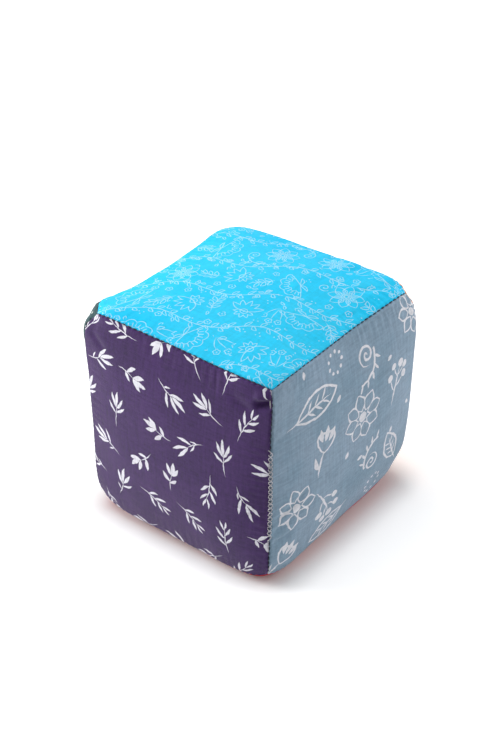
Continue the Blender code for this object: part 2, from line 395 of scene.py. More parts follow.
def seam_distance(points):
    """How far a shell point lies from the nearest seam."""
    return HALF_SIDE - np.sort(np.abs(points - (0, 0, CENTRE_HEIGHT)), axis=1)[:, 1]


def settle(points):
    """The shell after its cloth has settled under pressure."""
    item = mesh_object("sewn_shell", points, shell_quads)
    on_seam = ((shell_places == 0) | (shell_places == SHELL_CELLS)).sum(axis=1) > 1
    tightness = np.array([noise.noise(Vector(p) / PUCKER_PATCH) for p in points])
    tightness = np.clip(0.5 + PUCKER_CONTRAST * tightness, 0, 1)
    tightness = tightness * np.clip(plain[:, 2] / PUCKER_START, 0, 1)
    snug = 1 - np.clip(1 - seam_distance(plain) / EASE_REACH, 0, 1) * tightness
    cloth = item.modifiers.new("cloth", "CLOTH")
    settings = cloth.settings
    settings.quality = SETTLE_QUALITY
    settings.mass = POINT_MASS
    settings.tension_stiffness = STRETCH_STIFFNESS
    settings.compression_stiffness = STRETCH_STIFFNESS
    settings.shear_stiffness = SHEAR_STIFFNESS
    settings.bending_stiffness = BENDING_STIFFNESS
    settings.vertex_group_mass = weigh(item, "held", (on_seam | on_table).astype(float))
    settings.vertex_group_shrink = weigh(item, "snug", snug)
    settings.shrink_min, settings.shrink_max = -EASE, 0
    settings.use_pressure = True
    settings.uniform_pressure_force = FILLING_PRESSURE
    settings.effector_weights.gravity = 0
    cloth.collision_settings.use_collision = False
    cloth.point_cache.frame_end = SETTLE_FRAMES
    for step in range(1, SETTLE_FRAMES + 1):
        bpy.context.scene.frame_set(step)
    settled = item.evaluated_get(bpy.context.evaluated_depsgraph_get())
    result = np.array([v.co for v in settled.data.vertices])
    bpy.context.scene.frame_set(1)
    bpy.data.objects.remove(item)
    return result


def capped(shift, most):
    """A shift that is nowhere longer than it may be."""
    length = np.linalg.norm(shift, axis=1, keepdims=True)
    return shift * np.minimum(1, most / np.maximum(length, most / 1000))


settled = settle(slack)
shift = uneven + capped(settled - plain - uneven, MOST_SHIFT)
shift[on_table] = 0
furthest = np.linalg.norm(shift, axis=1).max()
print(f"settled in {time.time() - started:.0f} s, points moved {furthest / MM:.2f} mm at most")

# %% [markdown]
# ## From the shell to six separate squares
# The simulated shift is carried over to a grid twice as fine, with a cubic rule that keeps it
# smooth. A few deep creases beside the corners are pressed in one by one, because a simulation
# never puts them where they are wanted.

# %% Carry the shift over to the fine grid
CREASES = {  # place in the panel, direction, length, width and depth of each crease, in millimetres
    "front": [
        ((45.5, 40.4), 11, 9, 1.7, 2.9),
        ((34, 38), -20, 12, 2.2, 0.5),
        ((-40, 36), -35, 10, 1.8, 0.5),
    ],
    "right": [
        ((-40, -13), 22, 15, 1.7, 1.0),
        ((-42, -20), 14, 14, 1.5, 0.9),
        ((-43, -27), 2, 11, 1.4, 0.8),
        ((-44, 24), 20, 9, 1.4, 0.4),
    ],
    "top": [
        ((38, 30), 64, 12, 1.6, 0.5),
        ((44, 12), 80, 8, 1.3, 0.4),
        ((-44, -30), 20, 10, 1.6, 0.4),
        ((24, 44), 80, 9, 1.7, 0.6),
        ((10, 45), 95, 8, 1.6, 0.5),
    ],
}
LIP_PLACE = 2.2  # a crease pushes up a lip on one side, this many crease widths away
LIP_WIDTH = 1.5  # in crease widths
LIP_HEIGHT = 0.4  # as a share of the crease's depth


def finer(grid):
    """A grid with a new row between every two, by a cubic rule."""
    padded = np.concatenate([2 * grid[:1] - grid[1:2], grid, 2 * grid[-1:] - grid[-2:-1]])
    middle = (9 * (padded[1:-2] + padded[2:-1]) - padded[:-3] - padded[3:]) / 16
    result = np.empty((2 * len(grid) - 1, *grid.shape[1:]))
    result[::2], result[1::2] = grid, middle
    return result


def crease_depth(name, across, up, spread=0):
    """How deep the creases of a panel are pressed in, or the filling below them where they are spread."""
    depth = np.zeros(across.shape)
    for (x, y), direction, reach, width, deep in CREASES.get(name, []):
        c, s = math.cos(math.radians(direction)), math.sin(math.radians(direction))
        along = (across - x * MM) * c + (up - y * MM) * s
        beside = (up - y * MM) * c - (across - x * MM) * s
        fade = np.exp(-((along / (reach * MM / 2)) ** 4))
        dent = np.exp(-((beside / (width * MM + spread)) ** 2))
        lip = 0 if spread else np.exp(-(((beside / MM - LIP_PLACE * width) / (LIP_WIDTH * width)) ** 2))
        depth += deep * MM * fade * (dent - LIP_HEIGHT * lip)
    return depth


shifts = {}
for name, face in PANELS.items():
    shifts[name] = finer(finer(shift[shell_index[face]]).swapaxes(0, 1)).swapaxes(0, 1)
print("the fine grids have", shifts["top"].shape[0], "points along a seam")

# %% [markdown]
# ## The squares of cloth
# Each square is a closed mesh of real thickness: face, rolled edges and turned-in margins on the
# outside, and the same surface again one cloth's thickness further in. A Solidify modifier could
# do that too, but the rolled edge is tighter than it can offset cleanly. The flat cut is kept as
# a UV map in millimetres from the cut's middle, so that prints lie on the cloth like ink.

# %% Sew the squares
FOLD_RINGS = 8
MARGIN_RINGS = 4
CUT_MAP = "cut"


def rolled_edge():
    """(turn, inward push, distance in the flat cut) of each ring round a face."""
    turns = [k / FOLD_RINGS for k in range(1, FOLD_RINGS + 1)]
    depths = [SEAM_ALLOWANCE * k / MARGIN_RINGS for k in range(1, MARGIN_RINGS + 1)]
    arc = [(turn, 0, FACE_HALF + FOLD_RADIUS * FLAP_TURN * turn) for turn in turns]
    return arc + [(1, depth / math.sqrt(2), HALF_SIDE + depth) for depth in depths]


def normals_of(points, quads):
    """Outward direction at each point, from the faces round it."""
    a, b, c, d = [points[quads[:, k]] for k in range(4)]
    way = np.cross(c - a, d - b)
    total = np.zeros(points.shape)
    for k in range(4):
        np.add.at(total, quads[:, k], way)
    return total / np.linalg.norm(total, axis=1, keepdims=True)


def flat_place(share, i, j, out):
    """Places of a ring's points in the flat cut."""
    u, v = share[i], share[j]
    first = np.where(np.abs(u) == 1, u * out, u * FACE_HALF)
    second = np.where(np.abs(v) == 1, v * out, v * FACE_HALF)
    return np.stack([first, second], axis=-1)


def ring_quads(ring, following):
    return np.stack([following, np.roll(following, -1), np.roll(ring, -1), ring], axis=-1)


def sew_panel(name):
    """One square of cloth in its place."""
    face, cells = PANELS[name], FINE_CELLS
    crown = crown_of(face)
    local = face_points(cells, crown, 0)
    share = stations(cells)
    i, j = border_steps(cells)
    depth = crease_depth(name, local[..., 0], local[..., 1])
    local[..., 2] -= depth
    points = [(in_block(face, local) + shifts[name]).reshape(-1, 3)]
    cut = [np.stack(np.meshgrid(share, share, indexing="ij"), axis=-1).reshape(-1, 2) * FACE_HALF]
    index = np.arange((cells + 1) ** 2).reshape(cells + 1, cells + 1)
    quads, ring = [quads_of(index, False)], index[i, j]
    for turn, inward, out in rolled_edge():
        following = sum(len(p) for p in points) + np.arange(len(i))
        edge = edge_ring(cells, crown, 0, turn, inward)
        edge[:, 2] -= depth[i, j] * (1 - turn)
        points.append(in_block(face, edge) + shifts[name][i, j])
        cut.append(flat_place(share, i, j, out))
        quads.append(ring_quads(ring, following))
        ring = following
    points, quads, cut = np.concatenate(points), np.concatenate(quads), np.concatenate(cut)
    quads = quads[:, ::-1] if turned(face) else quads
    inside = points - normals_of(points, quads) * CLOTH_THICKNESS
    points[:, 2] = np.maximum(points[:, 2], 0)
    rim = ring_quads(ring, ring + len(points))
    rim = rim[:, ::-1] if turned(face) else rim
    item = mesh_object(name + "_cloth", np.concatenate([points, inside]),
                       np.concatenate([quads, quads[:, ::-1] + len(points), rim]))
    corners = np.concatenate([quads, quads[:, ::-1], rim % len(points)]).ravel()
    flat_map = item.data.uv_layers.new(name=CUT_MAP)
    flat_map.data.foreach_set("uv", (cut[corners] / MM).astype(np.float32).ravel())
    return item


panels = {name: sew_panel(name) for name in PANELS}
for name, item in panels.items():
    low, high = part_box(name + "_panel")
    print(f"{name}: {len(item.data.polygons)} faces, the frame's panel is {(high - low).x / MM:.1f} mm wide")

# %% [markdown]
# ## Threads in the seams
# A machine thread shows as a row of short dashes: it lies on top between two needle holes and
# dives into the cloth at each hole. It is spun from two plies, and at this size the twist is what
# makes it read as thread and not as wire, so each ply is a thin tube of its own that winds round
# the other. A curve object with a round bevel gives such a tube from a list of points.

# %% Follow a seam
THREAD_DIAMETER = 0.5 * MM
PLY_TWIST = 1.3 * MM  # length of one turn of the two plies
THREAD_END_STOP = 2 * MM  # a machine thread ends this far from its corner
CLOSING_LENGTH = 45 * MM
CLOSING_LOWER_END = 21 * MM
CLOSING_END_GAP = 0.8 * MM  # between the closing thread and the machine threads
CENTRES_APART = HALF_GAP + FOLD_RADIUS  # half the distance between the two folds' centres
POINT_STEP = 0.16 * MM  # between two points of a machine thread


class Seam:
    """The valley between two panels, which runs along the third axis."""

    def __init__(self, first, second):
        self.along = 3 - first[0] - second[0]
        ways = np.zeros((2, 3))
        ways[0, first[0]], ways[1, second[0]] = first[1], second[1]
        self.outward = (ways[0] + ways[1]) / math.sqrt(2)
        self.across = (ways[0] - ways[1]) / math.sqrt(2)
        ends = [SHELL_CELLS if way > 0 else 0 for _, way in (first, second)]
        border = np.flatnonzero((shell_places[:, [first[0], second[0]]] == ends).all(axis=1))
        border = border[np.argsort(plain[border, self.along])]
        self.spine = plain[border] + shift[border]
        self.places = (plain[border] - (0, 0, CENTRE_HEIGHT))[:, self.along]

    def points(self, place, side, rise):
        """World places at distances along the seam, off to one side and above the folds' centres."""
        spine = np.stack([np.interp(place, self.places, self.spine[:, axis]) for axis in range(3)], axis=-1)
        depth = (FOLD_CENTRE_OUT + FOLD_CENTRE_UP) / math.sqrt(2)
        return spine + np.outer(depth + rise, self.outward) + np.outer(side, self.across)


def thread_object(name, plies, diameter):
    """Round threads through runs of points, as one curve object."""
    curve = bpy.data.curves.new(name, "CURVE")
    curve.dimensions = "3D"
    curve.bevel_depth = diameter / 2
    curve.bevel_resolution = 1
    curve.use_fill_caps = True
    for points in plies:
        spline = curve.splines.new("POLY")
        spline.points.add(len(points) - 1)
        spline.points.foreach_set("co", np.column_stack([points, np.ones(len(points))]).ravel())
    item = bpy.data.objects.new(name, curve)
    bpy.context.collection.objects.link(item)
    return item


def two_plies(seam, place, side, rise, diameter):
    """The two plies that wind round a thread's middle line."""
    turn = 2 * np.pi * place / PLY_TWIST
    offset = diameter / 4
    return [seam.points(place, side + offset * np.cos(turn + start), rise + offset * np.sin(turn + start))
            for start in (0, np.pi)]


resting_height = math.sqrt((FOLD_RADIUS + THREAD_DIAMETER / 2) ** 2 - CENTRES_APART**2)
print(f"a thread that rests in the valley lies {resting_height / MM:.2f} mm above the folds' middles")

# %% [markdown]
# ## The machine threads
# One thread runs along each of the twelve seams, in a wave with one dash and one dive for each
# stitch. The upright seam at the front has two, below and above the gap that was closed by hand.
# The dashes are squarer than a plain cosine, since a taut thread lies flat between its holes. A
# row of short separate tubes would look alike, but it would be no thread.

# %% Run the machine threads
THREAD_TOP = 0.56 * MM  # the thread's middle line above the folds' centres, between two holes
THREAD_DIVE = 0.75 * MM  # how much deeper it lies in a hole
DASH_SQUARENESS = 2.4
DASH_SHARE = 0.05  # above 0, a dash is longer than the dip after it
THREAD_WANDER = 0.12 * MM
WANDER_RATE = 0.8  # wanders in a stitch's length
THREAD_SINK = 1.0 * MM  # how far a thread's ends sink in beside the corners
SINK_STEEPNESS = 12
PLY_WIDTH = 0.56  # of the thread's diameter, so that the two plies press into each other
FACES = list(PANELS.values())
NAMES = {face: name for name, face in PANELS.items()}
HAND_SEWN = (PANELS["front"], PANELS["right"])


def machine_thread(name, seam, start, end):
    """A row of stitches that dive where the folds are pinched."""
    place = np.arange(start, end, POINT_STEP)
    wave = np.cos(2 * np.pi * place / STITCH_LENGTH)
    height = 0.5 + 0.5 * np.tanh(DASH_SQUARENESS * (wave + DASH_SHARE)) / math.tanh(DASH_SQUARENESS)
    wander = [noise.noise(Vector((p / STITCH_LENGTH * WANDER_RATE, len(name), 0.5))) for p in place]
    sink = THREAD_SINK * np.abs(place / SEAM_HALF) ** SINK_STEEPNESS
    rise = THREAD_TOP - THREAD_DIVE * (1 - height) - sink
    plies = two_plies(seam, place, THREAD_WANDER * np.array(wander), rise, THREAD_DIAMETER)
    return thread_object(name, plies, THREAD_DIAMETER * PLY_WIDTH)


seams = {}
for k, first in enumerate(FACES):
    for second in FACES[k + 1 :]:
        if first[0] != second[0]:
            seams[first, second] = Seam(first, second)
closing_start = CLOSING_LOWER_END - SEAM_HALF
closing_end = closing_start + CLOSING_LENGTH
thread_end = SEAM_HALF - THREAD_END_STOP
threads = []
for (first, second), seam in seams.items():
    name = f"stitching_{NAMES[first]}_{NAMES[second]}"
    if {first, second} == set(HAND_SEWN):
        threads.append(machine_thread(name + "_lower", seam, -thread_end, closing_start - CLOSING_END_GAP))
        threads.append(machine_thread(name + "_upper", seam, closing_end + CLOSING_END_GAP, thread_end))
    else:
        threads.append(machine_thread(name, seam, -thread_end, thread_end))
print(len(threads), "machine threads")

# %% [markdown]
# ## The seam that was closed by hand
# The block is turned right side out and stuffed through a gap, and the gap is whipped shut from
# the outside, up and back down again: each small stitch crosses the valley on the surface and
# comes back under the folds. So the thread's path is a flattened helix. Rays sent in from outside
# feel where the cloth lies, so that the top half of each turn rests on it, and the lower half
# passes through the folds, where it can't be seen.

# %% Whip the gap shut
WHIP_PITCH = 2.3 * MM  # from one stitch to the next on the way up, and again on the way down
WHIP_HALF_WIDTH = 0.8 * MM
WHIP_DIAMETER = 0.36 * MM
WHIP_SLANT = 0.8 * MM  # how far a stitch runs along the seam while it crosses
WHIP_UNDER = 0.1 * MM  # height of the hidden half turns above the folds' centres
WHIP_LIFT = 0.4  # height of the thread's middle above the cloth, in its own diameters
WHIP_UNEVENNESS = 0.22  # how much wider or narrower than the rest a stitch can be
WHIP_RATE = 0.73  # how fast that changes from stitch to stitch
WHIP_SQUARENESS = 1.6  # how soon a half turn lies wholly on the cloth
WHIP_POINTS = 22  # in each turn
RAY_START = 5 * MM

depsgraph = bpy.context.evaluated_depsgraph_get()
hand_sewn_cloths = [BVHTree.FromObject(panels[NAMES[face]], depsgraph) for face in HAND_SEWN]


def cloth_height(seam, place, side):
    """Height of the cloth above the folds' centres, felt for with rays from outside."""
    heights = []
    for start in seam.points(place, side, np.full(len(place), RAY_START)):
        hits = [cloth.ray_cast(Vector(start), Vector(-seam.outward))[3] for cloth in hand_sewn_cloths]
        heights.append(RAY_START - min((hit for hit in hits if hit is not None), default=RAY_START))
    return np.array(heights)


def whip_pass(seam, way, offset):
    """The closing thread's middle line on its way up (1) or down (-1) the gap."""
    turns = int(CLOSING_LENGTH / WHIP_PITCH)
    phase = np.linspace(0, turns, turns * WHIP_POINTS + 1)
    angle = 2 * np.pi * phase
    wideness = np.array([noise.noise(Vector((p * WHIP_RATE, 7.5, way))) for p in phase])
    side = WHIP_HALF_WIDTH * np.cos(angle) * (1 + WHIP_UNEVENNESS * wideness)
    along = phase if way > 0 else turns - phase
    place = closing_start + WHIP_PITCH * (along + offset) - way * WHIP_SLANT / 2 * np.cos(angle)
    beyond = np.maximum(np.abs(side), CENTRES_APART)
    share = np.clip(0.5 + side / (2 * CENTRES_APART), 0, 1)
    over = cloth_height(seam, place, -beyond) * (1 - share) + cloth_height(seam, place, beyond) * share
    over = over + WHIP_DIAMETER * WHIP_LIFT
    shown = np.clip(0.5 + WHIP_SQUARENESS * np.sin(angle), 0, 1)
    return seam.points(place, side, WHIP_UNDER + (over - WHIP_UNDER) * shown)


closing_seam = seams[HAND_SEWN]
closing_path = np.concatenate([whip_pass(closing_seam, 1, 0), whip_pass(closing_seam, -1, 0.5)])
closing = thread_object("whip_stitching", [closing_path], WHIP_DIAMETER)
print("the closing thread crosses the seam", 2 * int(CLOSING_LENGTH / WHIP_PITCH), "times")

# %% [markdown]
# ## The filling
# Loose fibre fills the shell and presses against every square. It has the same crowned faces one
# cloth further in, and a slot along each edge, in which the margins stand. No one sees it while
# the block is whole, but it is a piece of its own that can be looked at with the cloth hidden.

# %% Fill the block
FILLING_CELLS = 40
FILLING_GAP = 0.3 * MM
SLOT_DEPTH = SEAM_ALLOWANCE + FILLING_GAP
CREASE_SPREAD = 3 * MM  # the filling gives way round a crease


def filling_face(face):
    """(points, quads, last ring) of the filling under one panel."""
    crown = crown_of(face)
    inset = CLOTH_THICKNESS + FILLING_GAP
    every = SHELL_CELLS // FILLING_CELLS
    moved = shift[shell_index[face]][::every, ::every]
    i, j = border_steps(FILLING_CELLS)
    local = face_points(FILLING_CELLS, crown, inset)
    local[..., 2] -= crease_depth(NAMES[face], local[..., 0], local[..., 1], CREASE_SPREAD)
    points = [(in_block(face, local) + moved).reshape(-1, 3)]
    index = np.arange((FILLING_CELLS + 1) ** 2).reshape(FILLING_CELLS + 1, FILLING_CELLS + 1)
    quads, ring = [quads_of(index, False)], index[i, j]
    for inward in (0, SLOT_DEPTH / math.sqrt(2)):
        following = sum(len(p) for p in points) + np.arange(len(i))
        points.append(in_block(face, edge_ring(FILLING_CELLS, crown, inset, 1, inward)) + moved[i, j])
        quads.append(ring_quads(ring, following))
        ring = following
    return np.concatenate(points), np.concatenate(quads), ring


def fill_block():
    """The filling as one closed body."""
    mesh = bmesh.new()
    last_rows = {}
    for face in FACES:
        points, quads, ring = filling_face(face)
        made = [mesh.verts.new(point) for point in points]
        for quad in quads:
            mesh.faces.new([made[k] for k in quad])
        i, j = border_steps(FILLING_CELLS)
        places = map(tuple, lattice(face, FILLING_CELLS)[i, j])
        last_rows[face] = dict(zip(places, (made[k] for k in ring)))
    for (first, second), seam in seams.items():
        shared = sorted(set(last_rows[first]) & set(last_rows[second]))
        for a, b in zip(shared, shared[1:]):
            rows = last_rows[first], last_rows[second]
            mesh.faces.new([rows[0][a], rows[0][b], rows[1][b], rows[1][a]])
    ends = (0, FILLING_CELLS)
    for corner in [(x, y, z) for x in ends for y in ends for z in ends]:
        mesh.faces.new([rows[corner] for rows in last_rows.values() if corner in rows])
    bmesh.ops.recalc_face_normals(mesh, faces=mesh.faces)
    data = bpy.data.meshes.new("fibre_filling")
    mesh.to_mesh(data)
    mesh.free()
    data.shade_smooth()
    item = bpy.data.objects.new("fibre_filling", data)
    bpy.context.collection.objects.link(item)
    return item


filling = fill_block()
print("the filling has", len(filling.data.polygons), "faces")

# %% [markdown]
# ## The camera
# The photograph looks down on an upright edge of the block, from 38 degrees round to the right of
# the front and 34 degrees up. The camera looks past the block's middle by a few millimetres, as
# the block doesn't lie in the middle of the picture, and it is turned by a third of a degree.

# %% Put in the camera
CAMERA_TURN = math.radians(37.8)
CAMERA_LIFT = math.radians(34.03)
CAMERA_ROLL = math.radians(-0.37)
CAMERA_DISTANCE = 0.8327  # metres
CAMERA_SIDE = -2.08 * MM  # how far the camera looks past the block's middle, to the right
CAMERA_RISE = 11.09 * MM  # the same, upwards
PHOTO_HEIGHT = 735  # pixels
FOCAL_LENGTH = 1893  # pixels

back = Vector((math.sin(CAMERA_TURN) * math.cos(CAMERA_LIFT), -math.cos(CAMERA_TURN) * math.cos(CAMERA_LIFT),
               math.sin(CAMERA_LIFT)))
level_right = Vector((math.cos(CAMERA_TURN), math.sin(CAMERA_TURN), 0))
level_up = back.cross(level_right)
right = level_right * math.cos(CAMERA_ROLL) + level_up * math.sin(CAMERA_ROLL)
up = level_up * math.cos(CAMERA_ROLL) - level_right * math.sin(CAMERA_ROLL)
lens = bpy.data.cameras.new("camera")
lens.sensor_width = 36
lens.lens = FOCAL_LENGTH * lens.sensor_width / PHOTO_HEIGHT
camera = bpy.data.objects.new("camera", lens)
bpy.context.collection.objects.link(camera)
aim = Vector((0, 0, CENTRE_HEIGHT)) + level_right * CAMERA_SIDE + level_up * CAMERA_RISE
axes = Matrix((right, up, back)).transposed().to_4x4()
camera.matrix_world = Matrix.Translation(aim + back * CAMERA_DISTANCE) @ axes
bpy.context.scene.camera = camera
print(f"lens {lens.lens:.1f} mm, {CAMERA_DISTANCE:.2f} m from the block's middle")

# %% [markdown]
# ## Writing finishes as sums
# A procedural finish is a web of nodes. Dragging them together by hand hides the idea, so here a
# small class wraps a node's output and lets Python's own plus, minus and times add the Math or
# Vector Math nodes. A second class keeps the material and makes every other kind of node.

# %% Wrap sockets and nodes


class Wire:
    """A node's output that Python's arithmetic works on."""

    def __init__(self, web, socket):
        self.web = web
        self.socket = socket

    def meet(self, operation, first, second):
        kind = "VectorMath" if self.socket.type in ("VECTOR", "RGBA") else "Math"
        return self.web.node(kind, {"operation": operation}, {0: first, 1: second})

    def __add__(self, other):
        return self.meet("ADD", self, other)

    def __radd__(self, other):
        return self.meet("ADD", other, self)

    def __sub__(self, other):
        return self.meet("SUBTRACT", self, other)

    def __rsub__(self, other):
        return self.meet("SUBTRACT", other, self)

    def __mul__(self, other):
        return self.meet("MULTIPLY", self, other)

    def __rmul__(self, other):
        return self.meet("MULTIPLY", other, self)

    def __abs__(self):
        kind = "VectorMath" if self.socket.type == "VECTOR" else "Math"
        return self.web.node(kind, {"operation": "ABSOLUTE"}, {0: self})


class Web:
    """A node tree that is being made."""

    def __init__(self, tree):
        self.tree = tree

    def join(self, value, socket):
        """Links a wire to a socket, or sets a plain value on it."""
        if isinstance(value, Wire):
            self.tree.links.new(value.socket, socket)
        elif hasattr(socket.default_value, "__len__") and not hasattr(value, "__len__"):
            socket.default_value = [value] * len(socket.default_value)
        else:
            socket.default_value = value

    def node(self, kind, settings=None, sockets=None, output=0):
        """Adds a node: its settings first, then the values or wires of its sockets."""
        made = self.tree.nodes.new("ShaderNode" + kind)
        for name, value in (settings or {}).items():
            setattr(made, name, value)
        for key, value in (sockets or {}).items():
            self.join(value, made.inputs[key])
        return Wire(self, made.outputs[output])


class Finish(Web):
    """A material that is being made, with the sockets of its Principled shader."""

    def __init__(self, name):
        self.material = bpy.data.materials.new(name)
        self.material.use_nodes = True
        super().__init__(self.material.node_tree)
        self.shader = self.tree.nodes["Principled BSDF"]

    def set(self, **values):
        """Sets or links the shader's own sockets, named with _ for a space."""
        for name, value in values.items():
            self.join(value, self.shader.inputs[name.replace("_", " ").title().replace("Ior", "IOR")])


print("sums of wires become nodes")

# %% [markdown]
# ## Sums that the finishes share
# A few sums come up in every finish: the larger and the smaller of two numbers, a soft step, a
# mix of two colours and a cloud of noise. Each gets a short name here, so that the finishes
# below read like what they are on the cloth. Blender's node groups could hold them too, but a
# function is easier to read.

# %% Name the sums that finishes share
UP = {"operation": "MAXIMUM"}
DOWN = {"operation": "MINIMUM"}


def largest(first, *others):
    for other in others:
        first = first.web.node("Math", UP, {0: first, 1: other})
    return first


def smallest(first, *others):
    for other in others:
        first = first.web.node("Math", DOWN, {0: first, 1: other})
    return first


def math_of(operation, first, *others):
    return first.web.node("Math", {"operation": operation}, dict(enumerate((first, *others))))


def dot(vector, way):
    return vector.web.node("VectorMath", {"operation": "DOT_PRODUCT"}, {0: vector, 1: way}, 1)


def parts(vector):
    """The first two parts of a vector."""
    return dot(vector, (1, 0, 0)), dot(vector, (0, 1, 0))


def length(vector):
    return vector.web.node("VectorMath", {"operation": "LENGTH"}, {0: vector}, 1)


def step_up(value, low, high):
    """0 below low, 1 above high, and a soft ramp between."""
    ends = {"Value": value, "From Min": low, "From Max": high, "To Min": 0, "To Max": 1}
    return value.web.node("MapRange", {"interpolation_type": "SMOOTHSTEP"}, ends)


def blend(share, first, second):
    """A colour between two others."""
    return share.web.node("Mix", {"data_type": "RGBA"}, {0: share, 6: first, 7: second}, 2)


def cloud(place, size, detail=2, roughness=0.5, seed=0):
    """Soft noise from 0 to 1 whose blobs have about this size."""
    settings = {"noise_dimensions": "3D"}
    values = {"Vector": place + (seed * 7.3, seed * 3.1, seed * 5.7), "Scale": 1 / size, "Detail": detail,
              "Roughness": roughness}
    return place.web.node("TexNoise", settings, values)


def colour(red, green, blue):
    return (red, green, blue, 1)


print("shared sums: largest, smallest, parts, length, step_up, blend, cloud")

# %% [markdown]
# ## Woven cloth
# Cotton and linen are plain weaves: warp and weft cross over and under in turn, and each yarn has
# thin and thick stretches, called slubs, which run along it. The weave is made from two sine
# waves and the slubs from noise stretched along each direction. An image would be the other
# way, but it would blur close by and repeat far off. The holes between the yarns are coloured
# darker than the yarns' backs, as painted shade, and the rolled folds are coloured lighter,
# partly by wear and partly as a painted highlight. Ink is thinner in the holes between the
# yarns and where the folds wear, so a print is mixed in by a mask that the same yarns break up.

# %% Weave a cloth
YARN = 0.42  # millimetres from one yarn to the next
SLUB_LENGTH = 16.0  # millimetres
SLUB_WIDTH = 2.2 * YARN
GRAIN_SIZE = 0.55  # millimetres across the fibres' fine grain
MOTTLE_SIZE = 1.7  # millimetres across the flecks that the dye leaves
TONE_SIZE = 22  # millimetres across the places that take the one or the other ground tone
FOLD_REACH = 2.2  # millimetres beside a fold in which the cloth is lightened, partly by wear and partly as a painted highlight
WEAVE_SHADE = 0.15  # how much lighter a yarn's back is than a hole, whose darkness is painted shade
GRAIN_SHADE = 0.14  # how much lighter a fibre is than the space beside it
WEAR_AND_HIGHLIGHT_SHADE = 0.16  # how much lighter a fold is made, partly by wear and partly as a painted highlight
INK_EDGE = 0.07  # millimetres over which an ink edge fades
INK_THIN = 0.22  # how much of the ink is missing in the holes of the weave
INK_WORN = 0.35  # the same where a fold wears
BUMP_HEIGHT = 0.09 * MM


def weave(flat):
    """Height of a plain weave, from 0 in the holes to 1 on a yarn's back."""
    x, y = parts(flat * (math.pi / YARN))
    warp, weft = math_of("SINE", x), math_of("SINE", y)
    over = math_of("MULTIPLY_ADD", warp * weft, 2.5, 0.5)
    over = smallest(largest(over, 0), 1)
    return abs(warp) * over + abs(weft) * (1 - over)


def slubs(flat, seed):
    """Uneven yarns of both directions, about 0, with the thick stretches above."""
    along = cloud(flat * (1 / SLUB_LENGTH, 1 / SLUB_WIDTH, 1), 1, 3, 0.6, seed)
    across = cloud(flat * (1 / SLUB_WIDTH, 1 / SLUB_LENGTH, 1), 1, 3, 0.6, seed + 1)
    return along + across - 1


def wear_and_highlight(flat, seed):
    """How much the cloth is lightened for wear and for a painted highlight: 1 on parts of a fold, 0 inside a
    panel.
    """
    x, y = parts(abs(flat))
    edge = step_up(largest(x, y), HALF_SIDE / MM - FOLD_REACH, HALF_SIDE / MM)
    return edge * step_up(cloud(flat, 5, 3, 0.6, seed), 0.35, 0.65)


def tinted(shade, tone):
    """A colour made lighter or darker by a tone about 1."""
    return tone.web.node("VectorMath", {"operation": "SCALE"}, {0: shade, "Scale": tone})


def cloth_finish(name, seed, base, other_base, ink, print_depth, slub, sheen):
    """A woven cloth: two tones that its ground varies between, and a print in a third colour."""
    finish = Finish(name)
    flat = finish.node("UVMap", {"uv_map": CUT_MAP})
    height = weave(flat)
    uneven = slubs(flat, seed)
    wide = cloud(flat, TONE_SIZE, 3, 0.55, seed + 2)
    grain = cloud(flat, GRAIN_SIZE, 2, 0.7, seed + 3) - 0.5
    mottle = cloud(flat, MOTTLE_SIZE, 3, 0.65, seed + 5) - 0.5
    fold_wear_and_highlight = wear_and_highlight(flat, seed + 4)
    # Painted shade: the holes between the yarns are coloured darker, as shade falls in them.
    tone = 1 + slub * uneven + WEAVE_SHADE * (height - 0.6) + GRAIN_SHADE * grain
    # Painted highlight and wear: the folds are made lighter, partly because they wear and partly as light on
    # the rolled edge.
    tone = tone + slub * mottle + WEAR_AND_HIGHLIGHT_SHADE * fold_wear_and_highlight
    ground = tinted(blend(step_up(wide, 0.3, 0.7), colour(*base), colour(*other_base)), tone)
    depth = print_depth(flat)
    mask = step_up(depth + 0.16 * grain, -INK_EDGE, INK_EDGE)
    mask = mask * (1 - INK_THIN * (1 - height)) * (1 - INK_WORN * fold_wear_and_highlight) * (0.94 + 0.35 * uneven)
    inked = tinted(colour(*ink)[:3], 1 + 0.25 * uneven + 0.10 * grain)
    finish.set(base_color=blend(mask, ground, inked), roughness=0.86 + 0.10 * uneven - 0.06 * mask)
    finish.set(sheen_weight=sheen, sheen_roughness=0.45, specular_ior_level=0.25)
    rough_height = height + 1.6 * uneven + 0.7 * grain
    bump = finish.node("Bump", None, {"Strength": 0.55, "Distance": BUMP_HEIGHT, "Height": rough_height})
    finish.set(normal=bump)
    return finish.material


print("yarns lie", YARN, "mm apart")

# %% [markdown]
# ## Drawing with depths
# A print is drawn by its depth: a number that is above zero inside the ink, zero on its edge and
# below zero outside, in millimetres. Two shapes are put together by the larger of their depths,
# and a shape's outline is a line's half width less the distance from its edge. Leaves, stems,
# rings, petals and curls are all that the six prints need.

# %% Draw leaves, rings, petals and curls


def turned_parts(place, x, y, turn, long=1):
    """How far a place lies along and beside a direction from x, y; the first in lengths of long."""
    moved = place - (x, y, 0) if x or y else place
    c, s = math.cos(math.radians(turn)), math.sin(math.radians(turn))
    return dot(moved, (c / long, s / long, 0)), dot(moved, (-s, c, 0))


def set_down(place, x, y, turn):
    """Coordinates as a motif at x, y sees them, turned by some degrees."""
    along, beside = turned_parts(place, x, y, turn)
    return place.web.node("CombineXYZ", None, {0: along, 1: beside})


def leaf(place, x, y, turn, long, wide, bend=0.0):
    """A leaf or a stem from its foot: direction, length, half width and bend."""
    share, off = turned_parts(place, x, y, turn, long)
    hump = share * (1 - share)
    return hump * (4 * wide) - abs(off - hump * (4 * bend) if bend else off)


def together(shapes):
    """The union of shapes, each put on the last as soon as it is drawn."""
    return functools.reduce(largest, shapes)


def leaves(place, strokes):
    return together(leaf(place, *stroke) for stroke in strokes)


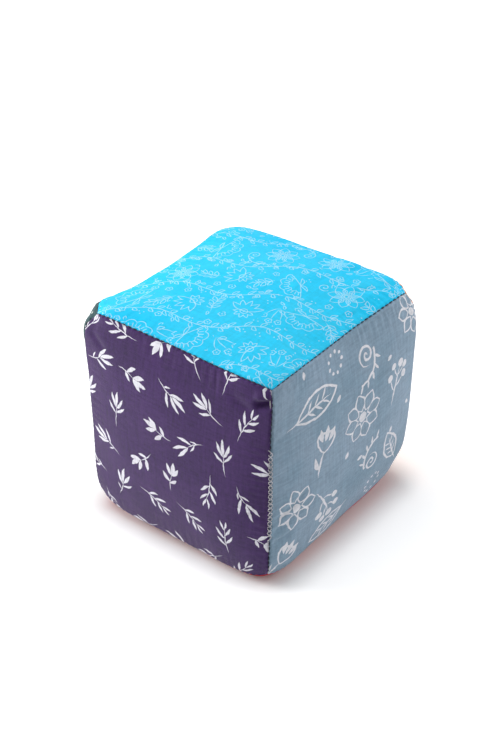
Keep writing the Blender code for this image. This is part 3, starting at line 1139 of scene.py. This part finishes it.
def disc(place, x, y, radius):
    return radius - length(place - (x, y, 0))


def outline(depth, wide):
    return wide / 2 - abs(depth)


def polar(place):
    """(angle, distance) from a motif's middle."""
    x, y = parts(place)
    return math_of("ARCTAN2", y, x), length(place)


def folded(angle, count):
    """An angle folded on to one of several like parts of a turn."""
    return math_of("WRAP", angle, math.pi / count, -math.pi / count)


def petal_ring(place, count, inner, outer, wide):
    """Leaf-shaped petals all round."""
    angle, radius = polar(place)
    angle = folded(angle, count)
    share = (radius * math_of("COSINE", angle) - inner) * (1 / (outer - inner))
    return share * (1 - share) * (4 * wide) - abs(radius * math_of("SINE", angle))


def round_blossom(place, count, radius, waist):
    """A blossom with round petals: its edge runs in and out as it goes round."""
    angle, away = polar(place)
    return radius * (1 - waist + waist * abs(math_of("COSINE", angle * (count / 2)))) - away


def spokes(place, count, inner, outer, wide):
    """Short straight rays between two circles."""
    angle, radius = polar(place)
    return smallest(wide / 2 - abs(radius * folded(angle, count)), radius - inner, outer - radius)


def arc(place, x, y, radius, start, sweep, wide):
    """A line along a circle about x, y, from a start angle over a sweep, in degrees."""
    angle, away = polar(set_down(place, x, y, start + sweep / 2))
    return smallest(outline(away - radius, wide), (math.radians(abs(sweep) / 2) - abs(angle)) * radius)


def curl(place, pitch, radius, wide):
    """A coiled stem about the motif's middle."""
    angle, away = polar(place)
    near = math_of("WRAP", away * (1 / pitch) - angle * (0.5 / math.pi), 0.5, -0.5)
    return smallest(wide / 2 - abs(near) * pitch, radius - away)


def dotted_ring(place, count, radius, size):
    angle, away = polar(place)
    beside = radius * folded(angle, count)
    off = away - radius
    return size - math_of("SQRT", beside * beside + off * off)


print("shapes: leaf, disc, outline, petal ring, round blossom, spokes, arc, curl and ring of dots")

# %% [markdown]
# ## The front: white sprigs on purple linen
# Twigs with lance-shaped leaves are strewn at random turns, about 19 mm apart. Each cell of a
# staggered grid holds one: White Noise gives each cell its own turn, its own small shift, and one
# of five twigs. Scattering real leaf meshes was the other way, but ink has no thickness.

# %% Strew the sprigs
SPRIG_SPACING = 17.6  # this and all sizes of the prints are in millimetres
SPRIG_SHIFT = 2.6
SPRIG_SCALE = 1.1  # the twigs are drawn smaller than they are printed
TWIG_FOOT = -8.5
TWIG_STEM_WIDTH = 0.2
LEAF_BOW = 1 / 20  # how far a leaf bends, in its lengths
TWIGS = [  # stem's length and bend, width of a leaf in its lengths, then each leaf's foot, direction, length
    (9.6, 0.5, 0.098, [(9.2, 2, 7.2), (8.6, 27, 6.8), (8.4, -25, 6.6), (6.2, 46, 5.6), (6.6, -44, 5.8)]),
    (8.0, -0.6, 0.100, [(7.8, 9, 8.0), (7.4, -15, 7.4), (6.6, 36, 7.0), (5.4, -42, 6.2), (3.4, 50, 3.4)]),
    (13.6, 0.8, 0.105, [(4.4, 44, 5.4), (5.6, -42, 5.8), (7.8, 36, 6.2), (9.4, -36, 5.6),
                        (12, 18, 4.8), (12.4, -16, 4.4)]),
    (8.4, 0.7, 0.165, [(8.2, -2, 6.0), (7.8, 32, 5.4), (7.6, -34, 5.6), (4.6, 52, 5.2), (3.8, -46, 4.2)]),
    (8.6, -0.8, 0.092, [(8.2, -6, 8.2), (7.8, 22, 8.0), (5.6, -38, 7.4), (3.8, 34, 4.6), (2.6, -30, 3.4)]),
]


def staggered(flat, spacing):
    """(place in its cell, three random numbers of the cell) on a staggered grid."""
    x, y = parts(flat)
    row = math_of("FLOOR", y * (1 / spacing))
    brick = flat + flat.web.node("CombineXYZ", None, {0: row * (spacing / 2)})
    cell = flat.web.node("VectorMath", {"operation": "FLOOR"}, {0: brick * (1 / spacing)})
    cell = cell * (1, 1, 0)
    chance = flat.web.node("TexWhiteNoise", {"noise_dimensions": "3D"}, {"Vector": cell + 0.5}, 1)
    return brick - (cell + (0.5, 0.5, 0)) * spacing, chance


def spun(place, angle):
    return place.web.node("VectorRotate", {"rotation_type": "Z_AXIS"}, {"Vector": place, "Angle": angle})


def strewn(flat, spacing, shift, drawings):
    """Strews drawings at random: (their depth, the distance from their middles)."""
    place, chance = staggered(flat, spacing)
    turn, other, third = [dot(chance, way) for way in ((1, 0, 0), (0, 1, 0), (0, 0, 1))]
    place = place - (chance - 0.5) * (shift, shift, 0)
    place = spun(place, (turn * 7 + other * 5) * (2 * math.pi))
    kind = math_of("FLOOR", third * len(drawings))
    depth = 0
    for number, draw in enumerate(drawings):
        depth = depth + math_of("COMPARE", kind, number, 0.5) * draw(place)
    return depth, length(place)


def trembling(flat, reach, size, seed):
    """Places shifted a little, as a hand's line trembles."""
    settings = {"noise_dimensions": "3D"}
    values = {"Vector": flat + seed, "Scale": 1 / size, "Detail": 1}
    shake = flat.web.node("TexNoise", settings, values, 1)
    return flat + (shake - 0.5) * (reach, reach, 0)


def drawn_twig(twig, place):
    long, bend, fatness, leaves_on = twig
    strokes = [(TWIG_FOOT, 0, 0, long, TWIG_STEM_WIDTH, bend)]
    for foot, direction, size in leaves_on:
        share = min(foot / long, 1)
        hump = 4 * bend * share * (1 - share)
        bow = math.copysign(size * LEAF_BOW, direction)
        strokes.append((TWIG_FOOT + foot, hump, direction, size, fatness * size, bow))
    return leaves(place, strokes)


def sprig_print(flat):
    drawings = [functools.partial(drawn_twig, twig) for twig in TWIGS]
    place = trembling(flat, 0.9, 2.4, 4) * (1 / SPRIG_SCALE)
    return strewn(place, SPRIG_SPACING, SPRIG_SHIFT, drawings)[0] * SPRIG_SCALE


print(len(TWIGS), "twigs,", sum(len(twig[3]) for twig in TWIGS), "leaves")

# %% [markdown]
# ## The top: a scroll of flowers on turquoise cotton
# Fine pale lines draw pointed flowers, scalloped fans, curled tendrils and winding stems, as on
# many block-printed cottons. Two staggered grids carry the large motifs, a third the small ones
# between them, and stems wind between the rows. Each layer is kept out of the round places that
# the next one needs, so nothing is drawn across a flower. A tile drawn by hand was the other way,
# but its repeat shows at once.

# %% Draw the scroll
SCROLL_SPACING = 25.0
SCROLL_TURN = 17
SCROLL_SHIFT = 2.2
FINE_LINE = 0.34
FLOWER_RADIUS = 7.8
SPRAY_RADIUS = 6.0
FILLER_SPACING = 7.4
FILLER_SHIFT = 1.6
MOTIF_GAP = 0.5  # left free round a motif
VINE_WAVE = 48.0
VINE_SWING = 3.4
VINE_LEAF_PITCH = 6.4


def drawn_flower(place):
    """Two rings of pointed petals, a round heart and rays in it."""
    radius = FLOWER_RADIUS
    far = petal_ring(place, 8, radius * 0.30, radius, radius * 0.25)
    near = petal_ring(set_down(place, 0, 0, 22.5), 8, radius * 0.26, radius * 0.7, radius * 0.12)
    heart = radius * 0.24 - length(place)
    rays = spokes(place, 16, radius * 0.09, radius * 0.18, FINE_LINE)
    return largest(outline(far, FINE_LINE), outline(near, FINE_LINE), outline(heart, FINE_LINE), rays)


def drawn_fan(place):
    """A half-open bloom: two scalloped edges, ribs between them, and sepals at its foot."""
    radius = FLOWER_RADIUS * 1.25
    place = set_down(place, -radius * 0.5, 0, 0)
    angle, away = polar(place)
    open_half = math.radians(78)
    wave = abs(math_of("COSINE", angle * 5.2))
    edge = smallest(radius * (0.86 + 0.14 * wave) - away, (open_half - abs(angle)) * away)
    inner = smallest(radius * (0.50 + 0.10 * wave) - away, (open_half - abs(angle)) * away)
    ribs = smallest(spokes(place, 26, radius * 0.60, radius * 0.80, FINE_LINE), edge)
    sepals = leaves(place, [(0, 0, 110, radius * 0.55, 0.7, 0.5), (0, 0, -110, radius * 0.55, 0.7, -0.5)])
    return largest(outline(edge, FINE_LINE), outline(inner, FINE_LINE), ribs, outline(sepals, FINE_LINE))


def drawn_aster(place):
    """A bloom seen from one side: long petals in front and short ones behind its heart."""
    near = leaves(place, [(-1.6, 0, turn, 8.2, 1.25, 0.2) for turn in (-58, -29, 0, 29, 58)])
    far = leaves(place, [(-1.8, 0, turn, 4.6, 0.9, 0) for turn in (102, 140, 180, 220, 258)])
    heart = FLOWER_RADIUS * 0.2 - length(place - (-1.7, 0, 0))
    return largest(outline(near, FINE_LINE), outline(far, FINE_LINE), outline(heart, FINE_LINE))


def drawn_tendril(place):
    """A curl that runs out into a long bent stem with small leaves on both sides."""
    radius, tail, sweep, leaf_count = 2.7, 7.5, 110, 4
    place = set_down(place, 2.6, -2.4, 0)
    pitch = radius / 1.6
    end = 2 * math.pi * (radius / pitch % 1)
    x, y = (radius - tail) * math.cos(end), (radius - tail) * math.sin(end)
    strokes = []
    for number in range(leaf_count):
        angle = end + math.radians(sweep) * (number + 0.8) / leaf_count
        side = 1 if number % 2 else -1
        foot = (x + tail * math.cos(angle), y + tail * math.sin(angle))
        strokes.append((*foot, math.degrees(angle) + 90 - 48 * side, 3.2, 0.75, 0.3 * side))
    stem = arc(place, x, y, tail, math.degrees(end), sweep, FINE_LINE)
    return largest(curl(place, pitch, radius, FINE_LINE), stem, outline(leaves(place, strokes), FINE_LINE))


def drawn_blossom(place):
    return largest(outline(round_blossom(place, 5, 1.6, 0.3), FINE_LINE), FINE_LINE - length(place))


def drawn_spray(place):
    """Three small blossoms on stalks that part from one foot."""
    tips = [(3.6, 3.6), (4.6, -0.4), (1.8, -4.2)]
    stalks = [(-5.8, 0, 25, 9.4, 0.17, 0.7), (-5.8, 0, 0, 9.0, 0.17, -0.3), (-5.8, 0, -30, 7.2, 0.17, -0.8)]
    blossoms = together(drawn_blossom(place - (x, y, 0)) for x, y in tips)
    stalks = leaves(place, stalks)
    return largest(blossoms, stalks, outline(leaf(place, -4.4, 0.4, 62, 3.4, 0.8, 0.3), FINE_LINE))


def drawn_branch(place):
    """A bent stem with outlined leaves in pairs."""
    pairs = [(-3.6, 0.9), (-0.6, 1.3), (2.4, 1.1)]
    strokes = [(x, y, turn, 3.9, 0.85, 0.3) for x, y in pairs for turn in (48, -44)]
    strokes.append((4.8, 0.5, -8, 3.0, 0.7, 0))
    return largest(leaf(place, -6.4, 0, 0, 11.6, 0.17, 1.3), outline(leaves(place, strokes), FINE_LINE))


def drawn_dots(place):
    return dotted_ring(place, 3, 1.1, 0.3)


def drawn_leaf_pair(place):
    return outline(leaves(place, [(-0.3, 0, 200, 2.6, 0.6, 0.2), (0.3, 0, -20, 2.6, 0.6, 0.2)]), FINE_LINE)


def drawn_vines(flat):
    """Stems that wind between the rows of flowers, with leaves on both sides."""
    x, y = parts(flat)
    swing = VINE_SWING * math_of("SINE", x * (2 * math.pi / VINE_WAVE))
    off = math_of("WRAP", y, SCROLL_SPACING / 2, -SCROLL_SPACING / 2) - swing
    depth = FINE_LINE / 2 - abs(off)
    for side in (-1, 1):
        near = math_of("WRAP", x + side * VINE_LEAF_PITCH / 4, VINE_LEAF_PITCH / 2, -VINE_LEAF_PITCH / 2)
        place = flat.web.node("CombineXYZ", None, {0: near, 1: off})
        depth = largest(depth, outline(leaf(place, -1, 0, 52 * side, 3.6, 0.75, 0.4 * side), FINE_LINE))
    return depth


FILLERS = [drawn_blossom, drawn_dots, drawn_leaf_pair]
SPRAYS = [drawn_tendril, drawn_spray, drawn_branch]
FLOWERS = [drawn_flower, drawn_fan, drawn_aster, drawn_fan]  # fans come twice as often


def scroll_print(flat):
    flat = set_down(trembling(flat, 0.7, 3, 9), 4, -3, SCROLL_TURN)
    depth = largest(drawn_vines(flat), strewn(flat, FILLER_SPACING, FILLER_SHIFT, FILLERS)[0])
    layers = [(SCROLL_SPACING / 2, SPRAY_RADIUS, SPRAYS), (0, FLOWER_RADIUS, FLOWERS)]
    for start, radius, drawings in layers:
        motif, away = strewn(flat + (start, 0, 0), SCROLL_SPACING, SCROLL_SHIFT, drawings)
        depth = largest(smallest(depth, away - (radius + MOTIF_GAP)), motif)
    return depth


print(len(FLOWERS), "flowers,", len(SPRAYS), "sprays and", len(FILLERS), "small motifs make up the scroll")

# %% [markdown]
# ## The right side: large plant shapes on grey-blue linen
# Few, bold, off-white shapes, most of them 20 to 30 mm long, drawn with a broad line. There are
# so few that each is simply set down in its place: veined leaves, open flowers, berries on
# stalks, ferns that uncurl, and small ovals and rings of dots between them.

# %% Draw the plant shapes
BROAD_LINE = 0.95
PLANT_SCALE = 1.25  # the shapes are drawn smaller than they are printed


def veined_leaf(place, long, wide):
    body = leaf(place, 0, 0, 0, long, wide, 0.6)
    veins = [(long * s, 0.4, side * 42, long * 0.22, 0.36, 0) for s in (0.24, 0.42, 0.60) for side in (-1, 1)]
    middle = (-long * 0.22, -0.2, 0, long * 1.05, 0.45, 0.5)
    return largest(outline(body, BROAD_LINE), leaves(place, [middle] + veins))


def open_flower(place, petals, radius):
    ring = petal_ring(place, petals, radius * 0.26, radius, radius * 0.26)
    heart = radius * 0.2 - length(place)
    return largest(outline(ring, BROAD_LINE * 0.8), heart)


def berries(place):
    stalks = [(-9, 0, 0, 16, 0.42, 0.8), (-3, 0.9, 42, 6, 0.34, 0.4), (-1.5, 0.9, -40, 6, 0.34, -0.4),
              (2.5, 0.8, 40, 4.6, 0.32, 0.3), (3, 0.6, -38, 4.6, 0.32, -0.3)]
    fruits = [(7.8, 0.2, 1.6), (2, 5.4, 1.5), (3.6, -3.6, 1.5), (6.6, 4.4, 1.35), (7.2, -3, 1.35)]
    return largest(leaves(place, stalks), together(disc(place, *fruit) for fruit in fruits))


def fern(place):
    stem = arc(place, -4.4, 0, 8.4, 0, -105, BROAD_LINE)
    barbs = [(-4.4 + 8.4 * math.cos(a), 8.4 * math.sin(a), math.degrees(a) - 35, 3.4, 0.5, 0)
             for a in (-0.3, -0.65, -1.0, -1.35, -1.7)]
    return largest(curl(place, 2.5, 4.0, BROAD_LINE * 0.9), stem, leaves(place, barbs))


def tulip(place):
    cup = smallest(leaf(place, -1, 0, 0, 11, 4.4, 0), 6.6 - parts(place)[0])
    tips = [(3.4, 1.6, 24, 5.4, 1.1, 0.2), (3.4, -1.6, -24, 5.4, 1.1, -0.2), (3.2, 0, 0, 6.2, 1.2, 0)]
    stalk = [(-10.5, 0.6, -3, 10.5, 0.45, 0.6), (-7.5, 0.8, 30, 6.4, 0.9, 0.6)]
    return largest(outline(cup, BROAD_LINE), leaves(place, tips + stalk))


def seed(place):
    return leaf(place, 0, 0, 0, 3.0, 0.75)


PLANTS = [  # what is drawn, its place and turn, and its sizes
    (veined_leaf, -36, 27, 12, 21, 4.6),
    (veined_leaf, 37, -34, 118, 19, 4.2),
    (veined_leaf, -5, -37, 200, 17, 3.8),
    (open_flower, 6, 9, 12, 8, 9.5),
    (open_flower, -36, -15, 0, 7, 8.2),
    (open_flower, 45, 41, 20, 7, 8),
    (berries, 31, 12, 70),
    (berries, -20, -24, -62),
    (fern, 11, 36, 15),
    (fern, 14, -22, 200),
    (tulip, -20, 6, 75),
    (tulip, -43, -42, 50),
    (dotted_ring, 20, -40, 0, 10, 4.2, 0.62),
    (dotted_ring, -9, 42, 0, 9, 3.6, 0.6),
    (seed, -6, -8, 60),
    (seed, 24, 27, 20),
    (seed, -30, 44, 100),
    (seed, 44, -6, 130),
    (seed, -11, 25, 40),
    (seed, 3, -14, 10),
    (seed, 28, -14, 70),
]


def plant_print(flat):
    flat = trembling(flat, 1.1, 3.2, 2) * (1 / PLANT_SCALE)
    drawings = (draw(set_down(flat, x / PLANT_SCALE, y / PLANT_SCALE, turn), *sizes)
                for draw, x, y, turn, *sizes in PLANTS)
    return together(drawings) * PLANT_SCALE


print(f"plant shapes are printed with a line of {BROAD_LINE * PLANT_SCALE:.1f} mm")

# %% [markdown]
# ## The sides that the photograph hardly shows
# Of the left, back and base only slivers show: dark teal, orange and red. Their prints are small
# all-over patterns of the kind that patchwork uses: pin dots, little cream flowers, and tonal
# rings on the base.

# %% Draw the small all-over prints
PIN_SPACING = 5.4
PIN_RADIUS = 0.52
SMALL_FLOWER_SPACING = 10.5
SMALL_FLOWER_SHIFT = 1.6
RING_SPACING = 7.2
RING_RADIUS = 1.1
RING_LINE = 0.5


def pin_print(flat):
    place, _ = staggered(flat, PIN_SPACING)
    return PIN_RADIUS - length(place)


def small_flower_print(flat):
    place, chance = staggered(trembling(flat, 0.5, 2.5, 1), SMALL_FLOWER_SPACING)
    place = place - (chance - 0.5) * (SMALL_FLOWER_SHIFT, SMALL_FLOWER_SHIFT, 0)
    place = spun(place, parts(chance)[0] * 20)
    blossom = smallest(round_blossom(place, 5, 2.3, 0.42), length(place) - 0.62)
    return largest(blossom, leaves(place, [(2.0, 0, 20, 2.8, 0.5, 0.2), (-1.9, -0.3, 200, 2.6, 0.5, 0.2)]))


def tonal_print(flat):
    place, _ = staggered(flat, RING_SPACING)
    return outline(RING_RADIUS - length(place), RING_LINE)


print("small prints: pins, flowers and rings")

# %% [markdown]
# ## A cloth for each square
# One finish serves all six cloths, with its own colours, print and yarns for each. The linens
# have more uneven yarns than the cottons. The purple and the dark green cloth get most sheen,
# since fine fibres that stand off a dark cloth make it look paler at its edges.

# %% Put the cloths on the squares
CLOTHS = {  # ground in two tones, ink, print, and how uneven the yarns and the sheen are
    "top": ((0.005, 0.57, 0.91), (0.026, 0.60, 0.92), (0.44, 0.75, 0.93), scroll_print, 0.26, 0.05),
    "front": ((0.045, 0.017, 0.094), (0.059, 0.024, 0.116), (0.93, 0.92, 0.99), sprig_print, 0.80, 0.21),
    "right": ((0.194, 0.297, 0.392), (0.258, 0.352, 0.457), (0.80, 0.79, 0.83), plant_print, 0.45, 0.15),
    "left": ((0.018, 0.058, 0.064), (0.028, 0.075, 0.080), (0.62, 0.66, 0.62), pin_print, 0.6, 0.25),
    "back": ((0.66, 0.185, 0.018), (0.72, 0.225, 0.028), (0.86, 0.80, 0.66), small_flower_print, 0.4, 0.04),
    "base": ((0.44, 0.012, 0.022), (0.50, 0.018, 0.030), (0.30, 0.008, 0.016), tonal_print, 0.4, 0.12),
}
for number, (name, cloth) in enumerate(CLOTHS.items()):
    material = cloth_finish(name + "_cloth", 10 * number, *cloth)
    panels[name].data.materials.append(material)
    print(name, "has", len(material.node_tree.nodes), "nodes,", round(time.time() - started), "s")

# %% [markdown]
# ## Thread and fibre
# Thread is coloured darker between its fibres than on them, which is painted shade, and it catches
# a little light. Its streaks come from noise in the object's own coordinates, which need no UV
# map. The filling is white polyester: bright, matt and full of fine tangled fibres.

# %% Finish the threads and the filling
FIBRE = 0.10 * MM  # across a thread's fibre
TANGLE_SIZE = 1.2 * MM
CLUMP_SIZE = 14 * MM
TANGLE_BUMP = 0.6 * MM


def thread_finish(name, dark, light):
    finish = Finish(name)
    place = finish.node("TexCoord", None, None, 3)
    strands = cloud(place, FIBRE, 2, 0.6)
    shade = cloud(place, 6 * MM, 2, 0.5, 3)
    # Painted shade: the thread is coloured darker where its fibre noise is low, between its fibres.
    tone = step_up(strands * 0.7 + shade * 0.3, 0.35, 0.65)
    finish.set(base_color=blend(tone, colour(*dark), colour(*light)))
    finish.set(roughness=0.55 + 0.3 * strands, sheen_weight=0.2, specular_ior_level=0.35)
    finish.set(normal=finish.node("Bump", None, {"Strength": 0.5, "Distance": FIBRE / 2, "Height": strands}))
    return finish.material


def fibre_finish():
    finish = Finish("fibre_filling")
    place = finish.node("TexCoord", None, None, 3)
    tangle = cloud(place, TANGLE_SIZE, 6, 0.75)
    clumps = cloud(place, CLUMP_SIZE, 2, 0.5, 2)
    tone = step_up(tangle * 0.6 + clumps * 0.4, 0.3, 0.7)
    finish.set(base_color=blend(tone, colour(0.66, 0.65, 0.62), colour(0.85, 0.85, 0.83)))
    finish.set(roughness=0.85 + 0.1 * tangle, sheen_weight=0.4, specular_ior_level=0.2)
    finish.set(normal=finish.node("Bump", None, {"Strength": 0.6, "Distance": TANGLE_BUMP, "Height": tangle}))
    return finish.material


navy = thread_finish("seam_thread", (0.004, 0.006, 0.016), (0.020, 0.028, 0.055))
for thread in threads:
    thread.data.materials.append(navy)
closing.data.materials.append(thread_finish("closing_thread", (0.55, 0.53, 0.57), (0.86, 0.84, 0.88)))
filling.data.materials.append(fibre_finish())
print("threads and filling are finished")

# %% [markdown]
# ## Light and floor
# The photograph has soft studio light: most of it from above, less from low on both sides, and
# a white sweep below. Three area lamps and a dim world copy that, at a level where a colour
# comes out about as it is written: a large lamp almost overhead, one low on the left, and a wide
# one low on the right and behind.

# %% Light the block
LAMPS = {  # place in metres from the block, width, strength in watts
    "key": ((-0.5, -0.1, 1.7), 1.3, 14.8),
    "left": ((-1.7, -0.75, 0.55), 1.0, 40),
    "right": ((1.2, 1.35, 0.6), 1.8, 27),
}
WORLD_STRENGTH = 0.22

for name, (place, width, power) in LAMPS.items():
    lamp_data = bpy.data.lights.new(name, "AREA")
    lamp_data.shape = "DISK"
    lamp_data.size = width
    lamp_data.energy = power
    lamp = bpy.data.objects.new(name, lamp_data)
    bpy.context.collection.objects.link(lamp)
    lamp.location = place
    lamp.rotation_euler = (Vector((0, 0, CENTRE_HEIGHT)) - lamp.location).to_track_quat("-Z", "Y").to_euler()
print(len(LAMPS), "lamps and a world of", WORLD_STRENGTH)

# %% [markdown]
# ## A white floor that keeps the shadow
# Lamps that made the floor white would make the block too bright. So the floor adds a light of
# its own that the camera and mirrors alone see. It starts at nothing a little within the
# block's sides and grows outwards, so the dark line where the block stands stays dark, and the
# floor close beside the block is darker than far off: a painted shadow on top of the real one.

# %% Lay the floor
FLOOR_HALF = 4.0  # metres
FLOOR_COLOUR = (0.84, 0.84, 0.845)
FLOOR_GLOW = (0, 0.48, 0.90)  # the floor's own light below the block, beside it and far off
GLOW_STEPS = ((0.003, 0.024), (0.3, 1.2))  # where it passes from each to the next, in metres
GLOW_INSET = 9 * MM  # counted from a square this much within the block's sides


def seen_directly(web):
    """1 for rays from the camera, mirrors and glass, and 0 for light on its way to the block."""
    outputs = web.node("LightPath").socket.node.outputs
    return largest(*[Wire(web, outputs[f"Is {way} Ray"]) for way in ("Camera", "Glossy", "Transmission")])


studio = bpy.data.worlds.new("studio")
studio.use_nodes = True
bpy.context.scene.world = studio
sky = Web(studio.node_tree)
background = sky.tree.nodes["Background"]
sky.join(colour(1, 1, 1), background.inputs["Color"])
seen = seen_directly(sky)
sky.join(WORLD_STRENGTH + (1 - WORLD_STRENGTH) * seen, background.inputs["Strength"])

corners = [(x * FLOOR_HALF, y * FLOOR_HALF, 0) for x, y in ((-1, -1), (1, -1), (1, 1), (-1, 1))]
floor = mesh_object("floor", corners, [(0, 1, 2, 3)])
paper = Finish("floor")
paper.set(base_color=colour(*FLOOR_COLOUR), roughness=0.9, specular_ior_level=0.1)
# Painted shadow: the floor's glow is weaker close to the block, so the floor there looks shaded beyond its
# real shadow.
dark_half = HALF_SIDE - GLOW_INSET
beside = abs(paper.node("TexCoord", None, None, 3) * (1, 1, 0)) - (dark_half, dark_half, 0)
beside = beside.web.node("VectorMath", UP, {0: beside, 1: 0})
glow = colour(*[FLOOR_GLOW[0]] * 3)
for level, (start, end) in zip(FLOOR_GLOW[1:], GLOW_STEPS):
    glow = blend(step_up(length(beside), start, end), glow, colour(level, level, level))
paper.set(emission_color=glow, emission_strength=seen_directly(paper))
floor.data.materials.append(paper.material)
bpy.context.scene.view_settings.view_transform = "Standard"
print("the floor is", 2 * FLOOR_HALF, "m wide")

# %% [markdown]
# ## Handing the pieces to the frame
# Every piece rides on the block's one body and replaces its own plain solid.

# %% Hand over the pieces
for name, item in panels.items():
    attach(item, "root")
    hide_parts(name + "_panel")
    name + "_cloth"
for thread in threads:
    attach(thread, "root")
    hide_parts(thread.name.replace("stitching", "seam_thread"))
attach(closing, "root")
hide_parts("closing_thread")
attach(filling, "root")
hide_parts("filling")
print(f"everything is made after {time.time() - started:.0f} s")
